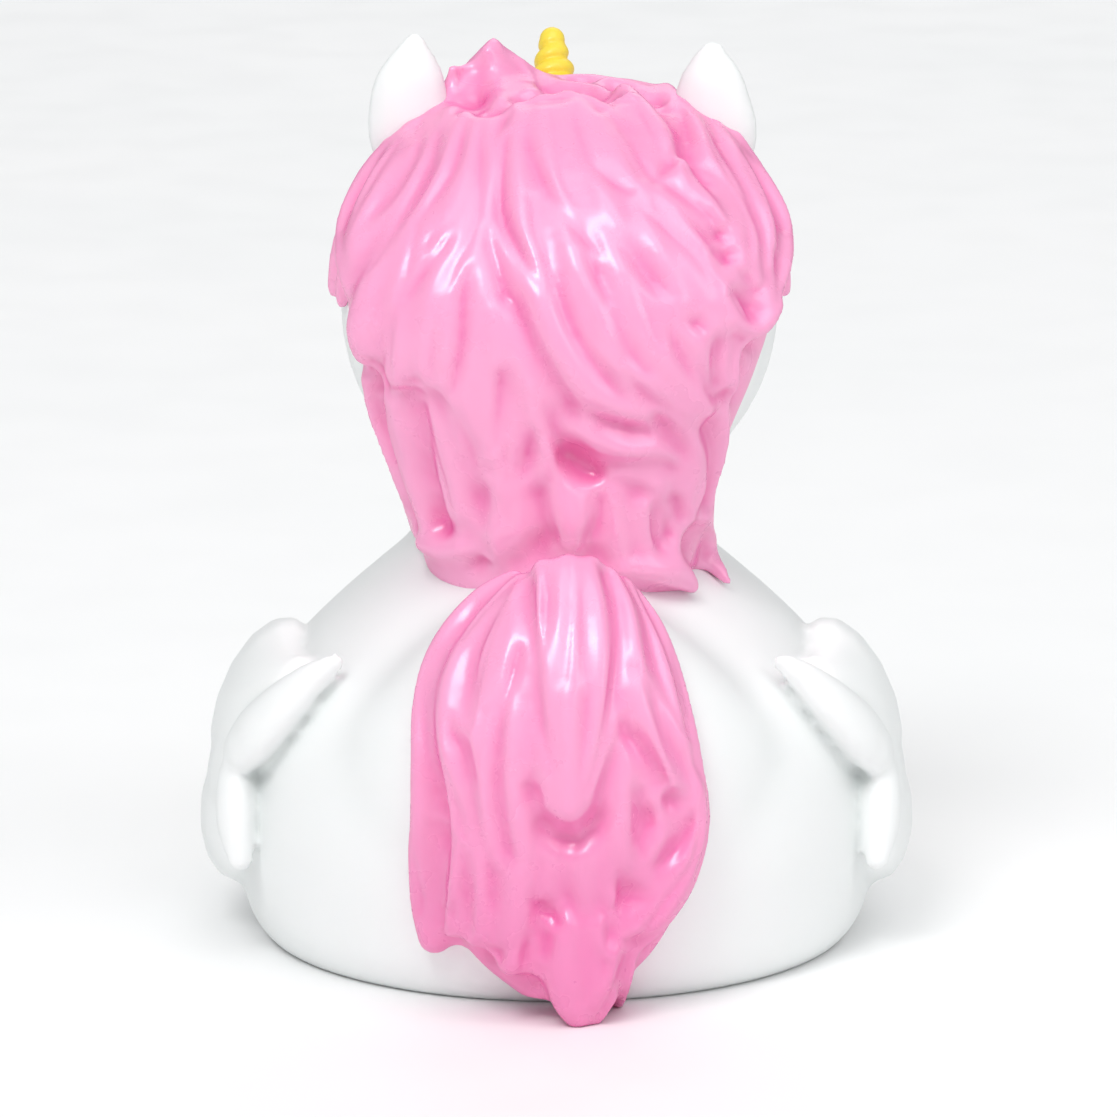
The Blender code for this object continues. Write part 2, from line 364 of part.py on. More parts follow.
# Grooves pressed into the hair where it faces the line of sight: greatest depth in millimetres, then
# the route on the sheet as (right, down, half width). A groove is shallower where it is narrower.
MANE_GROOVES = (
    # Left of the crown, from the edge inwards
    (0.72, ((39.5, 14.0, 0.36), (35.8, 19.2, 0.48), (34.0, 22.8, 0.3))),
    (0.65, (
        (42.2, 11.3, 0.36), (41.7, 14.0, 0.6), (41.0, 15.8, 0.6), (38.6, 19.6, 0.6), (35.4, 23.2, 0.24),
    )),
    (0.87, (
        (43.7, 13.0, 0.42), (43.3, 14.5, 0.6), (41.8, 18.0, 0.72), (37.8, 24.7, 0.6), (36.2, 27.2, 0.3),
    )),
    (0.81, (
        (46.4, 11.8, 0.3), (46.0, 14.0, 0.48), (45.0, 17.0, 0.48), (42.0, 21.5, 0.48),
        (41.4, 23.0, 0.48), (40.6, 27.0, 0.48), (39.8, 29.8, 0.54), (38.7, 32.5, 0.6),
        (38.1, 38.8, 0.54),
    )),
    (0.43, ((44.3, 22.6, 0.3), (42.6, 24.3, 0.48), (42.2, 25.2, 0.24))),
    (0.65, (
        (45.0, 23.7, 0.3), (44.0, 24.8, 0.48), (40.5, 29.7, 0.48), (39.0, 33.2, 0.36),
        (38.7, 35.0, 0.24),
    )),
    (0.75, (
        (48.0, 12.5, 0.36), (48.0, 18.0, 0.72), (47.3, 22.5, 0.84), (45.5, 26.5, 0.6),
        (45.0, 28.2, 0.36),
    )),
    (0.78, ((46.9, 27.0, 0.3), (46.3, 30.0, 0.54), (46.0, 35.0, 0.54), (44.6, 40.8, 0.48))),
    (0.43, ((43.0, 33.0, 0.36), (43.0, 35.0, 0.6), (42.7, 38.8, 0.48))),
    # Round the parting
    (0.9, (
        (48.6, 22.2, 0.3), (49.0, 24.0, 0.6), (50.2, 28.5, 0.84), (50.7, 29.6, 0.84),
        (51.4, 30.4, 0.72), (53.4, 34.6, 0.6), (56.8, 40.3, 0.54), (58.6, 42.2, 0.24),
    )),
    (1.01, ((50.7, 13.5, 0.3), (50.0, 20.5, 0.54), (51.8, 25.0, 0.6), (53.7, 27.8, 0.3))),
    (0.51, ((51.0, 11.0, 0.24), (50.2, 12.0, 0.42), (49.1, 14.2, 0.24))),
    (0.75, (
        (52.3, 13.4, 0.3), (53.7, 17.0, 0.6), (55.6, 20.0, 0.66), (57.8, 22.8, 0.96),
        (59.2, 24.4, 0.72), (60.0, 25.6, 0.36),
    )),
    (0.51, ((54.8, 11.0, 0.36), (56.0, 16.5, 0.6), (56.8, 18.8, 0.6), (57.6, 20.4, 0.36))),
    (0.43, ((54.1, 23.8, 0.36), (54.9, 27.0, 0.54), (55.3, 29.0, 0.36))),
    (0.36, ((53.3, 20.0, 0.3), (53.5, 22.5, 0.48), (54.3, 26.2, 0.3))),
    # Along the crown
    (0.78, (
        (51.6, 9.9, 0.3), (53.0, 9.7, 0.48), (56.6, 9.4, 0.48), (57.5, 8.8, 0.48), (58.4, 8.7, 0.48),
        (60.3, 10.4, 0.6), (60.8, 9.8, 0.48), (61.5, 9.0, 0.48), (62.5, 8.7, 0.42), (64.0, 8.1, 0.36),
        (65.5, 8.6, 0.36),
    )),
    (0.65, ((45.9, 9.0, 0.3), (46.2, 7.5, 0.48), (47.0, 6.2, 0.3))),
    (0.65, ((47.9, 9.5, 0.3), (47.8, 10.5, 0.48), (47.6, 11.4, 0.24))),
    (0.72, ((52.0, 6.4, 0.3), (53.2, 7.8, 0.48), (54.6, 8.8, 0.42), (56.2, 9.2, 0.24))),
    # Right of the crown
    (0.65, (
        (57.2, 9.8, 0.36), (57.9, 13.0, 0.6), (59.2, 16.0, 0.6), (61.6, 18.2, 0.48), (63.2, 19.0, 0.36),
    )),
    (0.65, ((60.2, 10.8, 0.3), (63.8, 16.6, 0.48), (64.6, 17.7, 0.3))),
    (0.81, ((60.6, 10.6, 0.36), (63.0, 13.5, 0.48), (64.6, 16.4, 0.54), (65.8, 17.8, 0.48))),
    (0.58, ((63.5, 9.5, 0.24), (64.1, 11.0, 0.42), (66.2, 14.8, 0.24))),
    (0.36, ((65.5, 9.0, 0.36), (66.0, 10.2, 0.42), (66.6, 12.0, 0.24))),
    (0.96, (
        (67.8, 9.6, 0.36), (68.6, 12.7, 0.9), (69.0, 16.0, 0.6), (69.7, 17.2, 0.6), (70.6, 19.8, 0.48),
    )),
    (0.78, ((65.8, 17.8, 0.36), (67.0, 16.0, 0.42), (67.8, 15.6, 0.36), (68.6, 15.9, 0.24))),
    (0.58, ((69.2, 17.0, 0.3), (69.4, 18.4, 0.54), (69.8, 19.4, 0.42))),
    (0.81, ((66.2, 18.0, 0.36), (68.8, 19.5, 0.54), (71.2, 21.6, 0.54), (72.0, 22.6, 0.48))),
    (0.9, (
        (71.2, 12.2, 0.3), (71.8, 14.0, 0.48), (73.2, 17.0, 0.54), (75.2, 20.0, 0.54),
        (76.7, 23.0, 0.6), (77.1, 27.0, 0.6), (76.8, 28.4, 0.54), (76.0, 29.0, 0.48), (75.0, 29.0, 0.3),
    )),
    (0.78, (
        (70.0, 16.5, 0.3), (71.5, 17.0, 0.42), (72.8, 18.0, 0.48), (74.6, 20.5, 0.6), (75.2, 22.0, 0.6),
        (75.4, 24.0, 0.6), (75.3, 25.8, 0.42),
    )),
    (0.58, ((73.8, 26.2, 0.3), (74.8, 27.4, 0.48), (75.8, 28.6, 0.42))),
    (0.65, ((74.5, 15.5, 0.3), (75.7, 17.2, 0.48), (77.8, 20.7, 0.54), (78.4, 22.5, 0.48))),
    (0.75, ((77.3, 23.5, 0.3), (78.3, 26.5, 0.54), (78.2, 30.0, 0.3))),
    (1.13, ((71.6, 22.6, 0.6), (72.2, 23.2, 0.96), (72.7, 23.8, 0.72))),
    (1.13, ((72.4, 25.0, 0.72), (73.0, 25.3, 1.08), (73.5, 25.4, 0.72))),
    (0.58, ((64.0, 20.0, 0.3), (65.0, 21.2, 0.42), (69.5, 25.2, 0.48), (71.8, 28.5, 0.36))),
    (0.51, ((65.5, 20.5, 0.3), (71.2, 26.2, 0.42), (72.2, 27.5, 0.3))),
    (0.51, ((68.8, 21.2, 0.3), (70.0, 22.5, 0.42), (72.2, 24.7, 0.36))),
    # Down the sweeping locks
    (0.72, ((58.4, 24.6, 0.3), (59.8, 27.4, 0.54), (61.0, 30.2, 0.3))),
    (0.75, ((61.0, 22.5, 0.6), (62.5, 24.5, 1.2), (65.5, 28.0, 1.32), (67.0, 29.5, 0.72))),
    (0.65, ((63.2, 27.4, 0.3), (65.5, 33.0, 0.48), (66.2, 34.5, 0.36))),
    (0.65, (
        (55.4, 27.0, 0.3), (56.6, 31.0, 0.6), (58.3, 34.5, 0.6), (60.7, 37.8, 0.6), (62.8, 39.7, 0.36),
    )),
    (0.43, ((57.6, 28.0, 0.36), (59.0, 32.0, 0.6), (60.0, 34.0, 0.6), (61.8, 36.2, 0.36))),
    (0.58, ((60.4, 30.0, 0.42), (62.0, 33.5, 0.84), (63.2, 35.5, 1.08), (64.4, 37.0, 0.72))),
    (0.65, ((67.2, 33.0, 0.3), (67.7, 34.5, 0.48), (69.0, 37.0, 0.54), (70.0, 38.5, 0.36))),
    (0.78, ((68.3, 31.2, 0.24), (69.8, 32.4, 0.6), (70.2, 32.8, 0.42))),
    (0.65, ((70.0, 36.5, 0.24), (70.6, 37.8, 0.42), (71.2, 39.0, 0.42))),
    (0.96, ((71.4, 39.3, 0.36), (72.2, 39.8, 0.6), (73.2, 39.6, 0.6), (74.0, 38.8, 0.36))),
    (0.75, ((72.0, 34.0, 0.42), (71.9, 36.5, 0.6), (71.8, 38.5, 0.6))),
    (0.75, ((73.8, 34.4, 0.42), (73.7, 36.5, 0.6), (73.7, 38.0, 0.48))),
    (0.78, ((73.8, 33.8, 0.48), (74.8, 34.5, 0.6), (75.8, 35.0, 0.48))),
    (0.96, ((73.8, 29.4, 0.6), (75.6, 31.6, 0.96), (76.4, 32.4, 0.6))),
    # Lower right
    (0.96, ((59.4, 41.7, 0.3), (60.5, 42.4, 0.48), (63.0, 43.1, 0.54), (64.8, 43.1, 0.36))),
    (1.01, (
        (54.3, 40.4, 0.36), (55.0, 42.2, 0.84), (56.9, 45.4, 1.2), (59.4, 47.2, 0.96),
        (60.4, 46.9, 0.72), (61.5, 46.7, 0.6), (63.0, 46.7, 0.6), (66.0, 46.3, 0.6), (67.0, 46.6, 0.6),
        (67.7, 46.8, 0.42),
    )),
    (0.87, ((62.7, 37.5, 0.3), (64.2, 39.4, 0.66), (66.2, 40.8, 0.6), (69.5, 42.4, 0.3))),
    (0.84, (
        (70.4, 42.8, 0.3), (71.1, 44.0, 0.42), (71.4, 45.8, 0.48), (71.0, 48.6, 0.6),
        (69.9, 50.7, 0.36),
    )),
    (0.84, (
        (65.5, 41.5, 0.48), (66.2, 42.5, 0.96), (68.0, 44.7, 0.96), (68.6, 45.8, 0.72),
        (69.3, 46.5, 0.36),
    )),
    (0.75, ((60.6, 48.0, 0.48), (63.5, 49.0, 0.96), (65.0, 49.7, 0.72), (65.8, 50.4, 0.36))),
    (1.19, ((67.6, 49.0, 0.6), (68.0, 50.2, 1.2), (68.2, 51.6, 0.96))),
    (0.87, ((65.6, 50.2, 0.3), (65.9, 53.2, 0.48), (66.2, 54.6, 0.36))),
    (0.96, ((67.0, 52.2, 0.72), (67.2, 53.4, 0.96), (67.3, 54.0, 0.6))),
    (0.36, ((56.6, 48.4, 0.3), (57.2, 50.0, 0.42), (57.8, 51.6, 0.3))),
    (0.72, ((54.0, 49.6, 0.3), (54.6, 52.8, 0.6), (55.2, 53.8, 0.48))),
    (0.72, ((60.0, 49.6, 0.3), (60.0, 51.4, 0.48), (59.7, 52.8, 0.54), (59.1, 53.8, 0.42))),
    # Lower left, under the step
    (0.84, ((35.0, 36.2, 0.36), (35.8, 36.9, 0.54), (36.8, 36.9, 0.54), (37.6, 36.2, 0.36))),
    (1.01, (
        (38.1, 38.6, 0.42), (38.8, 39.3, 0.6), (40.0, 39.4, 0.54), (42.0, 39.2, 0.72),
        (44.1, 40.8, 0.96), (46.3, 44.5, 1.2), (47.0, 46.5, 1.2), (48.1, 49.5, 0.72),
        (48.3, 52.5, 0.54), (48.0, 53.5, 0.36),
    )),
    (0.78, ((40.8, 38.6, 0.36), (41.4, 38.4, 0.54), (42.0, 38.6, 0.36))),
    (0.84, (
        (42.1, 40.5, 0.36), (42.2, 42.0, 0.48), (43.0, 46.0, 0.6), (43.9, 49.0, 0.6), (44.3, 52.0, 0.6),
        (44.7, 52.9, 0.54), (45.5, 53.1, 0.3),
    )),
    (0.58, ((37.6, 40.0, 0.3), (38.4, 43.5, 0.48), (39.4, 46.0, 0.36))),
    (0.96, ((48.1, 54.0, 0.42), (48.2, 55.0, 0.72), (48.4, 56.0, 0.84))),
    (0.78, ((50.3, 37.5, 0.36), (50.0, 38.5, 0.6), (49.4, 45.0, 0.3))),
    (0.75, ((53.4, 43.3, 0.42), (52.8, 45.8, 0.78), (51.9, 47.6, 0.42))),
    (0.36, ((50.3, 45.0, 0.3), (50.6, 46.5, 0.36), (50.8, 48.0, 0.24))),
    (0.51, ((48.2, 46.6, 0.6), (48.8, 47.2, 0.72), (49.2, 47.6, 0.48))),
)

TAIL_GROOVES = (
    # Left locks, from the edge inwards
    (0.84, (
        (43.2, 65.0, 0.3), (42.1, 68.5, 0.6), (42.1, 72.0, 0.6), (42.9, 76.0, 0.66), (45.0, 80.6, 1.08),
        (46.0, 83.3, 0.6),
    )),
    (0.65, ((44.4, 82.6, 0.36), (44.8, 83.8, 0.6), (44.8, 84.8, 0.36))),
    (0.81, (
        (44.8, 72.2, 0.36), (45.4, 73.8, 0.72), (46.2, 75.5, 0.72), (47.0, 78.5, 0.54),
        (47.1, 80.0, 0.48), (48.2, 85.0, 0.48), (49.1, 88.0, 0.6), (49.2, 90.5, 0.36),
    )),
    (0.65, (
        (51.8, 57.3, 0.3), (50.5, 58.2, 0.42), (48.0, 60.5, 0.54), (46.8, 62.0, 0.54),
        (46.0, 63.5, 0.36),
    )),
    (0.84, ((50.6, 60.0, 0.3), (48.5, 64.2, 0.66), (47.2, 68.5, 1.08), (46.8, 72.5, 0.48))),
    (0.78, (
        (52.0, 64.5, 0.3), (51.1, 67.5, 0.6), (50.2, 71.0, 0.54), (49.6, 75.5, 0.54),
        (49.6, 79.5, 0.54), (50.3, 83.5, 0.48), (50.8, 85.2, 0.54), (51.4, 86.2, 0.3),
    )),
    (0.43, ((48.2, 71.0, 0.36), (47.6, 75.0, 0.48), (47.4, 77.0, 0.24))),
    # Down the middle lobe and round its end
    (0.96, (
        (53.0, 56.6, 0.42), (52.6, 60.0, 0.9), (53.5, 66.0, 0.54), (53.6, 68.5, 0.54),
        (54.1, 73.0, 0.6), (54.6, 75.8, 0.3),
    )),
    (0.78, ((54.1, 55.8, 0.36), (54.6, 60.0, 0.6), (54.3, 64.0, 0.42), (54.3, 65.5, 0.24))),
    (0.65, ((56.6, 56.0, 0.36), (56.9, 61.0, 0.66), (56.5, 68.0, 0.3))),
    (0.43, ((58.2, 59.0, 0.3), (58.4, 62.0, 0.48), (58.4, 67.0, 0.24))),
    (0.87, (
        (60.3, 56.0, 0.42), (60.9, 57.0, 0.6), (61.8, 60.0, 0.6), (62.1, 64.0, 0.6), (61.6, 69.0, 0.66),
        (59.7, 77.0, 0.42), (59.0, 78.6, 0.24),
    )),
    (0.43, ((58.7, 70.0, 0.36), (58.6, 73.0, 0.48), (58.0, 78.0, 0.24))),
    (1.07, (
        (62.0, 73.6, 0.36), (61.7, 75.2, 0.54), (60.8, 78.4, 0.66), (60.0, 81.8, 0.72),
        (58.2, 84.0, 0.96), (55.8, 83.9, 0.84), (53.9, 82.0, 0.6), (53.0, 79.2, 0.72),
        (52.9, 78.0, 0.36),
    )),
    # Right locks
    (0.84, (
        (62.4, 56.2, 0.3), (63.4, 57.6, 0.48), (64.9, 61.0, 0.6), (66.2, 67.0, 0.54), (68.6, 73.0, 0.3),
    )),
    (0.43, ((62.4, 64.0, 0.3), (63.4, 67.0, 0.42), (63.8, 68.2, 0.24))),
    (0.81, (
        (64.2, 67.0, 0.36), (66.8, 73.2, 0.66), (68.8, 76.6, 0.96), (69.3, 78.2, 0.84),
        (69.4, 80.0, 0.54),
    )),
    (0.51, ((67.4, 62.6, 0.3), (68.2, 65.5, 0.42), (69.2, 71.5, 0.3))),
    (1.01, (
        (62.4, 71.8, 0.48), (63.0, 73.4, 0.96), (64.2, 75.0, 1.02), (66.4, 78.4, 0.9),
        (66.9, 80.0, 0.6),
    )),
    (1.25, ((64.2, 79.5, 0.48), (64.5, 81.0, 0.96), (64.9, 82.2, 1.2), (64.5, 83.6, 0.84))),
    (0.78, ((63.7, 79.4, 0.3), (64.2, 83.5, 0.54), (64.3, 85.0, 0.3))),
    (0.84, ((69.3, 81.2, 0.36), (69.0, 82.4, 0.54), (67.6, 85.0, 0.6), (65.6, 86.8, 0.36))),
    (0.96, (
        (70.4, 80.0, 0.3), (70.1, 84.5, 0.48), (69.6, 86.4, 0.48), (68.6, 87.8, 0.54),
        (66.1, 91.0, 0.6), (64.5, 93.8, 0.66), (63.4, 94.5, 0.6), (62.4, 94.2, 0.36),
    )),
    (1.01, ((61.9, 86.8, 0.36), (62.3, 88.4, 0.84), (62.6, 89.8, 0.84), (62.0, 90.8, 0.48))),
    (1.19, ((60.8, 91.4, 0.48), (61.2, 92.8, 0.96), (61.2, 94.0, 0.84), (60.8, 95.2, 0.36))),
    # Bottom ends
    (0.96, ((53.6, 90.4, 0.48), (54.6, 91.2, 1.08), (55.4, 92.2, 0.96), (56.2, 92.8, 0.48))),
    (0.75, ((54.0, 92.0, 0.36), (54.3, 93.6, 0.48), (54.3, 95.0, 0.36))),
    (0.78, ((41.2, 86.0, 0.3), (41.9, 90.5, 0.54), (41.6, 91.8, 0.36))),
    (0.78, ((45.4, 90.6, 0.36), (44.9, 91.6, 0.6), (44.2, 92.4, 0.42))),
    (0.58, ((46.0, 85.0, 0.36), (46.4, 88.0, 0.54), (46.8, 93.6, 0.48))),
    (0.96, ((47.8, 95.0, 0.48), (49.0, 95.8, 0.96), (50.8, 94.9, 0.36))),
    (0.65, ((53.0, 94.2, 0.3), (52.7, 95.6, 0.42), (52.6, 96.8, 0.3))),
    (0.84, ((63.1, 95.0, 0.36), (62.9, 96.6, 0.54), (61.7, 100.0, 0.6), (59.9, 102.0, 0.36))),
    (0.65, ((60.2, 95.6, 0.36), (60.4, 96.8, 0.48), (60.2, 98.4, 0.24))),
    (0.36, ((56.8, 89.4, 0.3), (57.4, 91.0, 0.42), (57.8, 92.2, 0.24))),
)

GROOVE_STEP = 0.3  # along a groove, in millimetres
GROOVE_CORE_SHARE = 0.4  # how much of its depth lies in its core, and the rest in its soft shoulders
GROOVE_SHOULDER = 1.15  # half width of its shoulders, in millimetres
GROOVE_FACING = 2.5  # how fast it fades in as the skin turns to the line of sight

# Blending: forms are swollen until they meet, shrunk back and softened. Grid size, swell, passes of
# softening for the hair and for the body with its rump.
HAIR_SIZE = 0.42 * MM
HAIR_SWELL = 0.9 * MM
HAIR_SMOOTH_STEPS = 4
TORSO_SIZE = 0.7 * MM
TORSO_SWELL = 6.0 * MM
TORSO_SMOOTH_STEPS = 12

# Skin: grid size that fuses the forms, then how much it is smoothed and thinned.
FUSE_SIZE = 0.42 * MM
SMOOTH_SHARE = 0.5
SMOOTH_STEPS = 1
MOST_TRIANGLES = 11600
CUTTER_SIDE = 120.0 * MM
PAINT_LEAD = 0.3 * MM

PAINTS = {
    "white vinyl": ((0.88, 0.89, 0.88), 0.36),
    "pink paint": ((0.87, 0.22, 0.47), 0.30),
    "yellow paint": ((0.93, 0.74, 0.06), 0.34),
    "orange paint": ((0.90, 0.32, 0.03), 0.34),
    "black paint": ((0.02, 0.02, 0.02), 0.22),
}


def clear_scene():
    for thing in list(bpy.data.objects):
        bpy.data.objects.remove(thing, do_unlink=True)


def back_line(right, down):
    """The line of sight through a place on the sheet: where it starts, and its direction."""
    up = Vector((0.0, math.sin(SIGHT_TILT), math.cos(SIGHT_TILT)))
    ahead = Vector((0.0, math.cos(SIGHT_TILT), -math.sin(SIGHT_TILT)))
    eye = SHEET_MIDDLE - SIGHT_DISTANCE * ahead
    aim = SHEET_MIDDLE + mm(right - SHEET_HALF, 0.0, 0.0) + (SHEET_HALF - down) * MM * up
    return eye, (aim - eye).normalized()


def head_line(turn, rise):
    """A line from outside towards the head's middle, given in degrees from the face and above it."""
    turn = math.radians(turn)
    rise = math.radians(rise)
    level = Vector((math.sin(turn), math.cos(turn), 0.0))
    out = math.cos(rise) * level + Vector((0.0, 0.0, math.sin(rise)))
    return HEAD_MIDDLE + 2.0 * HEAD_HALF.length * out, -out


def side_line(side, forward, height):
    """A level line from outside one side (-1 left, 1 right) of the body."""
    return mm(side * 100.0, forward, height), Vector((-side, 0.0, 0.0))


def settle(line, lift, form):
    """How far along a line it first comes within lift of a form, or else passes nearest to it."""
    start, ahead = line
    furthest = (SHEET_MIDDLE - start).length + SHEET_HALF * MM
    reach = 0.0
    nearest = furthest
    best = 0.0
    while reach < furthest:
        gap = form.find_nearest(start + reach * ahead)[3]
        if gap < nearest:
            nearest = gap
            best = reach
        if gap <= lift + SETTLE_NEAR:
            break
        reach += max(gap - lift, SETTLE_NEAR)
    return best


def outward(point, form):
    """The way out of a form at a point on or above it."""
    foot, normal, _, gap = form.find_nearest(point)
    return (point - foot).normalized() if gap > 10 * SETTLE_NEAR else normal


def evened(values, passes):
    """The values with each one drawn towards its neighbours, and the ends kept."""
    for _ in range(passes):
        inner = [0.25 * (a + 2 * b + c) for a, b, c in zip(values, values[1:], values[2:])]
        values = [values[0]] + inner + [values[-1]]
    return values


def catmull(knots, t):
    """A place between the middle two of four knots, each a tuple of plain numbers."""
    place = []
    for a, b, c, d in zip(*knots):
        bend = (2 * a - 5 * b + 4 * c - d) * t**2 + (3 * b - a - 3 * c + d) * t**3
        place.append(b + 0.5 * ((c - a) * t + bend))
    return tuple(place)


def smooth_curve(knots, count_between):
    """Points on a smooth curve through knots. count_between tells how many steps one stretch has."""
    ends = (knots[0],) + tuple(knots) + (knots[-1],)
    curve = []
    for stretch in zip(ends, ends[1:], ends[2:], ends[3:]):
        count = count_between(stretch[1], stretch[2])
        curve += [catmull(stretch, part / count) for part in range(count)]
    curve.append(tuple(knots[-1]))
    return curve


def steps_of(length):
    """Counts steps of about this length along a drawn route."""
    return lambda start, end: max(2, round(math.dist(start[:2], end[:2]) / length))


def skin_rings(bm, rings):
    """Faces from ring to ring, and a fan over each end."""
    made = [[bm.verts.new(point) for point in ring] for ring in rings]
    count = len(made[0])
    for lower, upper in zip(made, made[1:]):
        for i in range(count):
            j = (i + 1) % count
            bm.faces.new((lower[i], lower[j], upper[j], upper[i]))
    bm.faces.new(reversed(made[0]))
    bm.faces.new(made[-1])


def closed(bm):
    bmesh.ops.triangulate(bm, faces=[face for face in bm.faces if len(face.verts) > 4])
    bmesh.ops.recalc_face_normals(bm, faces=bm.faces)


def round_angles(count):
    return [2 * math.pi * i / count for i in range(count)]


def loft(bm, rings, side_shift=0.0):
    """A closed form through level rings given as (height, half width, front, back) in millimetres."""
    outline = []
    for height, half, front, back in smooth_curve(rings, lambda start, end: LOFT_BETWEEN):
        middle = 0.5 * (front - back)
        reach = 0.5 * (front + back)
        ring = []
        for angle in round_angles(LOFT_SIDES):
            right = side_shift + half * math.cos(angle)
            ring.append(mm(right, middle + reach * math.sin(angle), height))
        outline.append(ring)
    skin_rings(bm, outline)


def ball(bm, half, turn, middle):
    """An ellipsoid turned about its own middle and then moved."""
    made = bmesh.ops.create_uvsphere(bm, u_segments=BALL_SIDES, v_segments=BALL_SIDES // 2, radius=1.0)
    for vert in made["verts"]:
        local = Vector([size * place for size, place in zip(half, vert.co)])
        vert.co = middle + turn @ local


def tilted(angle):
    """A turn that lifts the front."""
    return Quaternion((1.0, 0.0, 0.0), angle)


def bar(bm, path):
    """A tapered oval bar with round ends, through (middle, outward, half width, half height)."""
    points = [step[0] for step in path]
    outs = evened([step[1] for step in path], OUT_EVENING)
    frames = []
    for i, (point, _, wide, high) in enumerate(path):
        along = (points[min(i + 1, len(points) - 1)] - points[max(i - 1, 0)]).normalized()
        across = along.cross(outs[i]).normalized()
        frames.append((point, along, across, across.cross(along), wide, high))
    rings = [cap(frames[0], -1.0, angle) for angle in CAP_ANGLES]
    rings += [oval(middle, across, out, wide, high) for middle, _, across, out, wide, high in frames]
    rings += [cap(frames[-1], 1.0, angle) for angle in reversed(CAP_ANGLES)]
    skin_rings(bm, rings)


def oval(middle, across, out, wide, high, sides=LOCK_SIDES):
    ring = []
    for angle in round_angles(sides):
        ring.append(middle + wide * math.cos(angle) * across + high * math.sin(angle) * out)
    return ring


def cap(frame, way, angle):
    """A ring of the round end of a bar."""
    middle, along, across, out, wide, high = frame
    reach = way * min(wide, high) * math.cos(angle)
    share = math.sin(angle)
    return oval(middle + reach * along, across, out, wide * share, high * share)


def laid_bar(bm, lift, knots, line_of, form, height_of, step=LOCK_STEP):
    """A bar laid on a form along a drawn route. height_of gives its half height from its half width."""
    route = smooth_curve(knots, steps_of(step))
    lines = [line_of(across, down) for across, down, _ in route]
    reaches = evened([settle(line, lift * MM, form) for line in lines], LAY_EVENING)
    path = []
    for (start, ahead), reach, (_, _, half) in zip(lines, reaches, route):
        point = start + reach * ahead
        path.append((point, outward(point, form), half * MM, height_of(half * MM)))
    bar(bm, path)


def lock_height(half):
    return LOCK_LEAST_HEIGHT + LOCK_HEIGHT_SHARE * half


def tree(*makers):
    """A search tree of the surfaces of some forms."""
    bm = bmesh.new()
    for maker in makers:
        maker(bm)
    bmesh.ops.triangulate(bm, faces=bm.faces)
    made = BVHTree.FromBMesh(bm)
    bm.free()
    return made


def body(bm):
    loft(bm, BODY_RINGS, BODY_SIDE_SHIFT)
    loft(bm, RUMP_RINGS)


def head(bm):
    ball(bm, HEAD_HALF, tilted(0.0), HEAD_MIDDLE)


def scalp(bm):
    loft(bm, SCALP_RINGS, SCALP_SIDE_SHIFT)


def dock(bm):
    loft(bm, DOCK_RINGS, DOCK_SIDE_SHIFT)


def wings(bm):
    skin = tree(body)
    for side in (-1, 1):
        for thick, knots in WING_PADS:
            widest = max(half for _, _, half in knots) * MM
            laid_bar(
                bm,
                0.0,
                knots,
                lambda forward, height: side_line(side, forward, height),
                skin,
                lambda half: thick * MM * math.sqrt(half / widest),
            )
        for knots in FEATHER_TIPS:
            laid_bar(
                bm,
                FEATHER_LIFT,
                knots,
                lambda right, down: back_line(SHEET_HALF + side * (SHEET_HALF - right), down),
                skin,
                lambda half: FEATHER_THICK + FEATHER_THICK_SHARE * half,
            )


def ears(bm):
    back = Vector((0.0, -1.0, 0.0))
    for ear in (LEFT_EAR, RIGHT_EAR):
        path = []
        for right, down, half in smooth_curve(ear, steps_of(LOCK_STEP)):
            start, ahead = back_line(right, down)
            point = start + ahead * ((EAR_PLANE - start.y) / ahead.y)
            path.append((point, back, half * MM, half * MM * EAR_THICK_SHARE))
        bar(bm, path)


def horn_radius(share, drop, turn):
    """Radius at a share of the way up, which is drop below the tip, a share of a turn round."""
    cone = HORN_ROOT_RADIUS + (HORN_TIP_RADIUS - HORN_ROOT_RADIUS) * share
    place_in_roll = (drop / HORN_PITCH - turn + HORN_START) % 1.0
    fade = min(1.0, drop / HORN_TIP_RADIUS)
    return cone - fade * HORN_GROOVE * (1.0 - math.sqrt(math.sin(math.pi * place_in_roll)))


def horn(bm):
    """A cone whose rings swell and shrink with a roll that climbs round it, and a domed tip."""
    axis = HORN_TIP - HORN_ROOT
    along = axis.normalized()
    across = along.cross(Vector((0.0, 1.0, 0.0))).normalized()
    out = across.cross(along)
    steps = round(axis.length * HORN_STEPS_A_ROLL / HORN_PITCH)
    rings = []
    for step in range(steps + 1):
        share = step / steps
        ring = []
        for angle in round_angles(HORN_SIDES):
            radius = horn_radius(share, (1.0 - share) * axis.length, angle / (2 * math.pi))
            way = math.cos(angle) * across + math.sin(angle) * out
            ring.append(HORN_ROOT + share * axis + radius * way)
        rings.append(ring)
    for angle in reversed(CAP_ANGLES):
        radius = HORN_TIP_RADIUS * math.sin(angle)
        middle = HORN_TIP + HORN_TIP_RADIUS * math.cos(angle) * along
        rings.append(oval(middle, across, out, radius, radius, HORN_SIDES))
    skin_rings(bm, rings)


def bill(bm):
    half = Vector((BILL_HALF_WIDTH, BILL_REACH, BILL_LIP))
    rise = Vector((0.0, 0.0, BILL_UPPER_RISE * BILL_LIP))
    ball(bm, half, tilted(BILL_TILT), BILL_MIDDLE + rise)
    lower = Vector([share * size for share, size in zip(BILL_LOWER_SHARES, half)])
    drop = Vector((0.0, 0.0, BILL_LOWER_DROP * BILL_LIP))
    ball(bm, lower, tilted(BILL_LOWER_TILT), BILL_MIDDLE - drop)


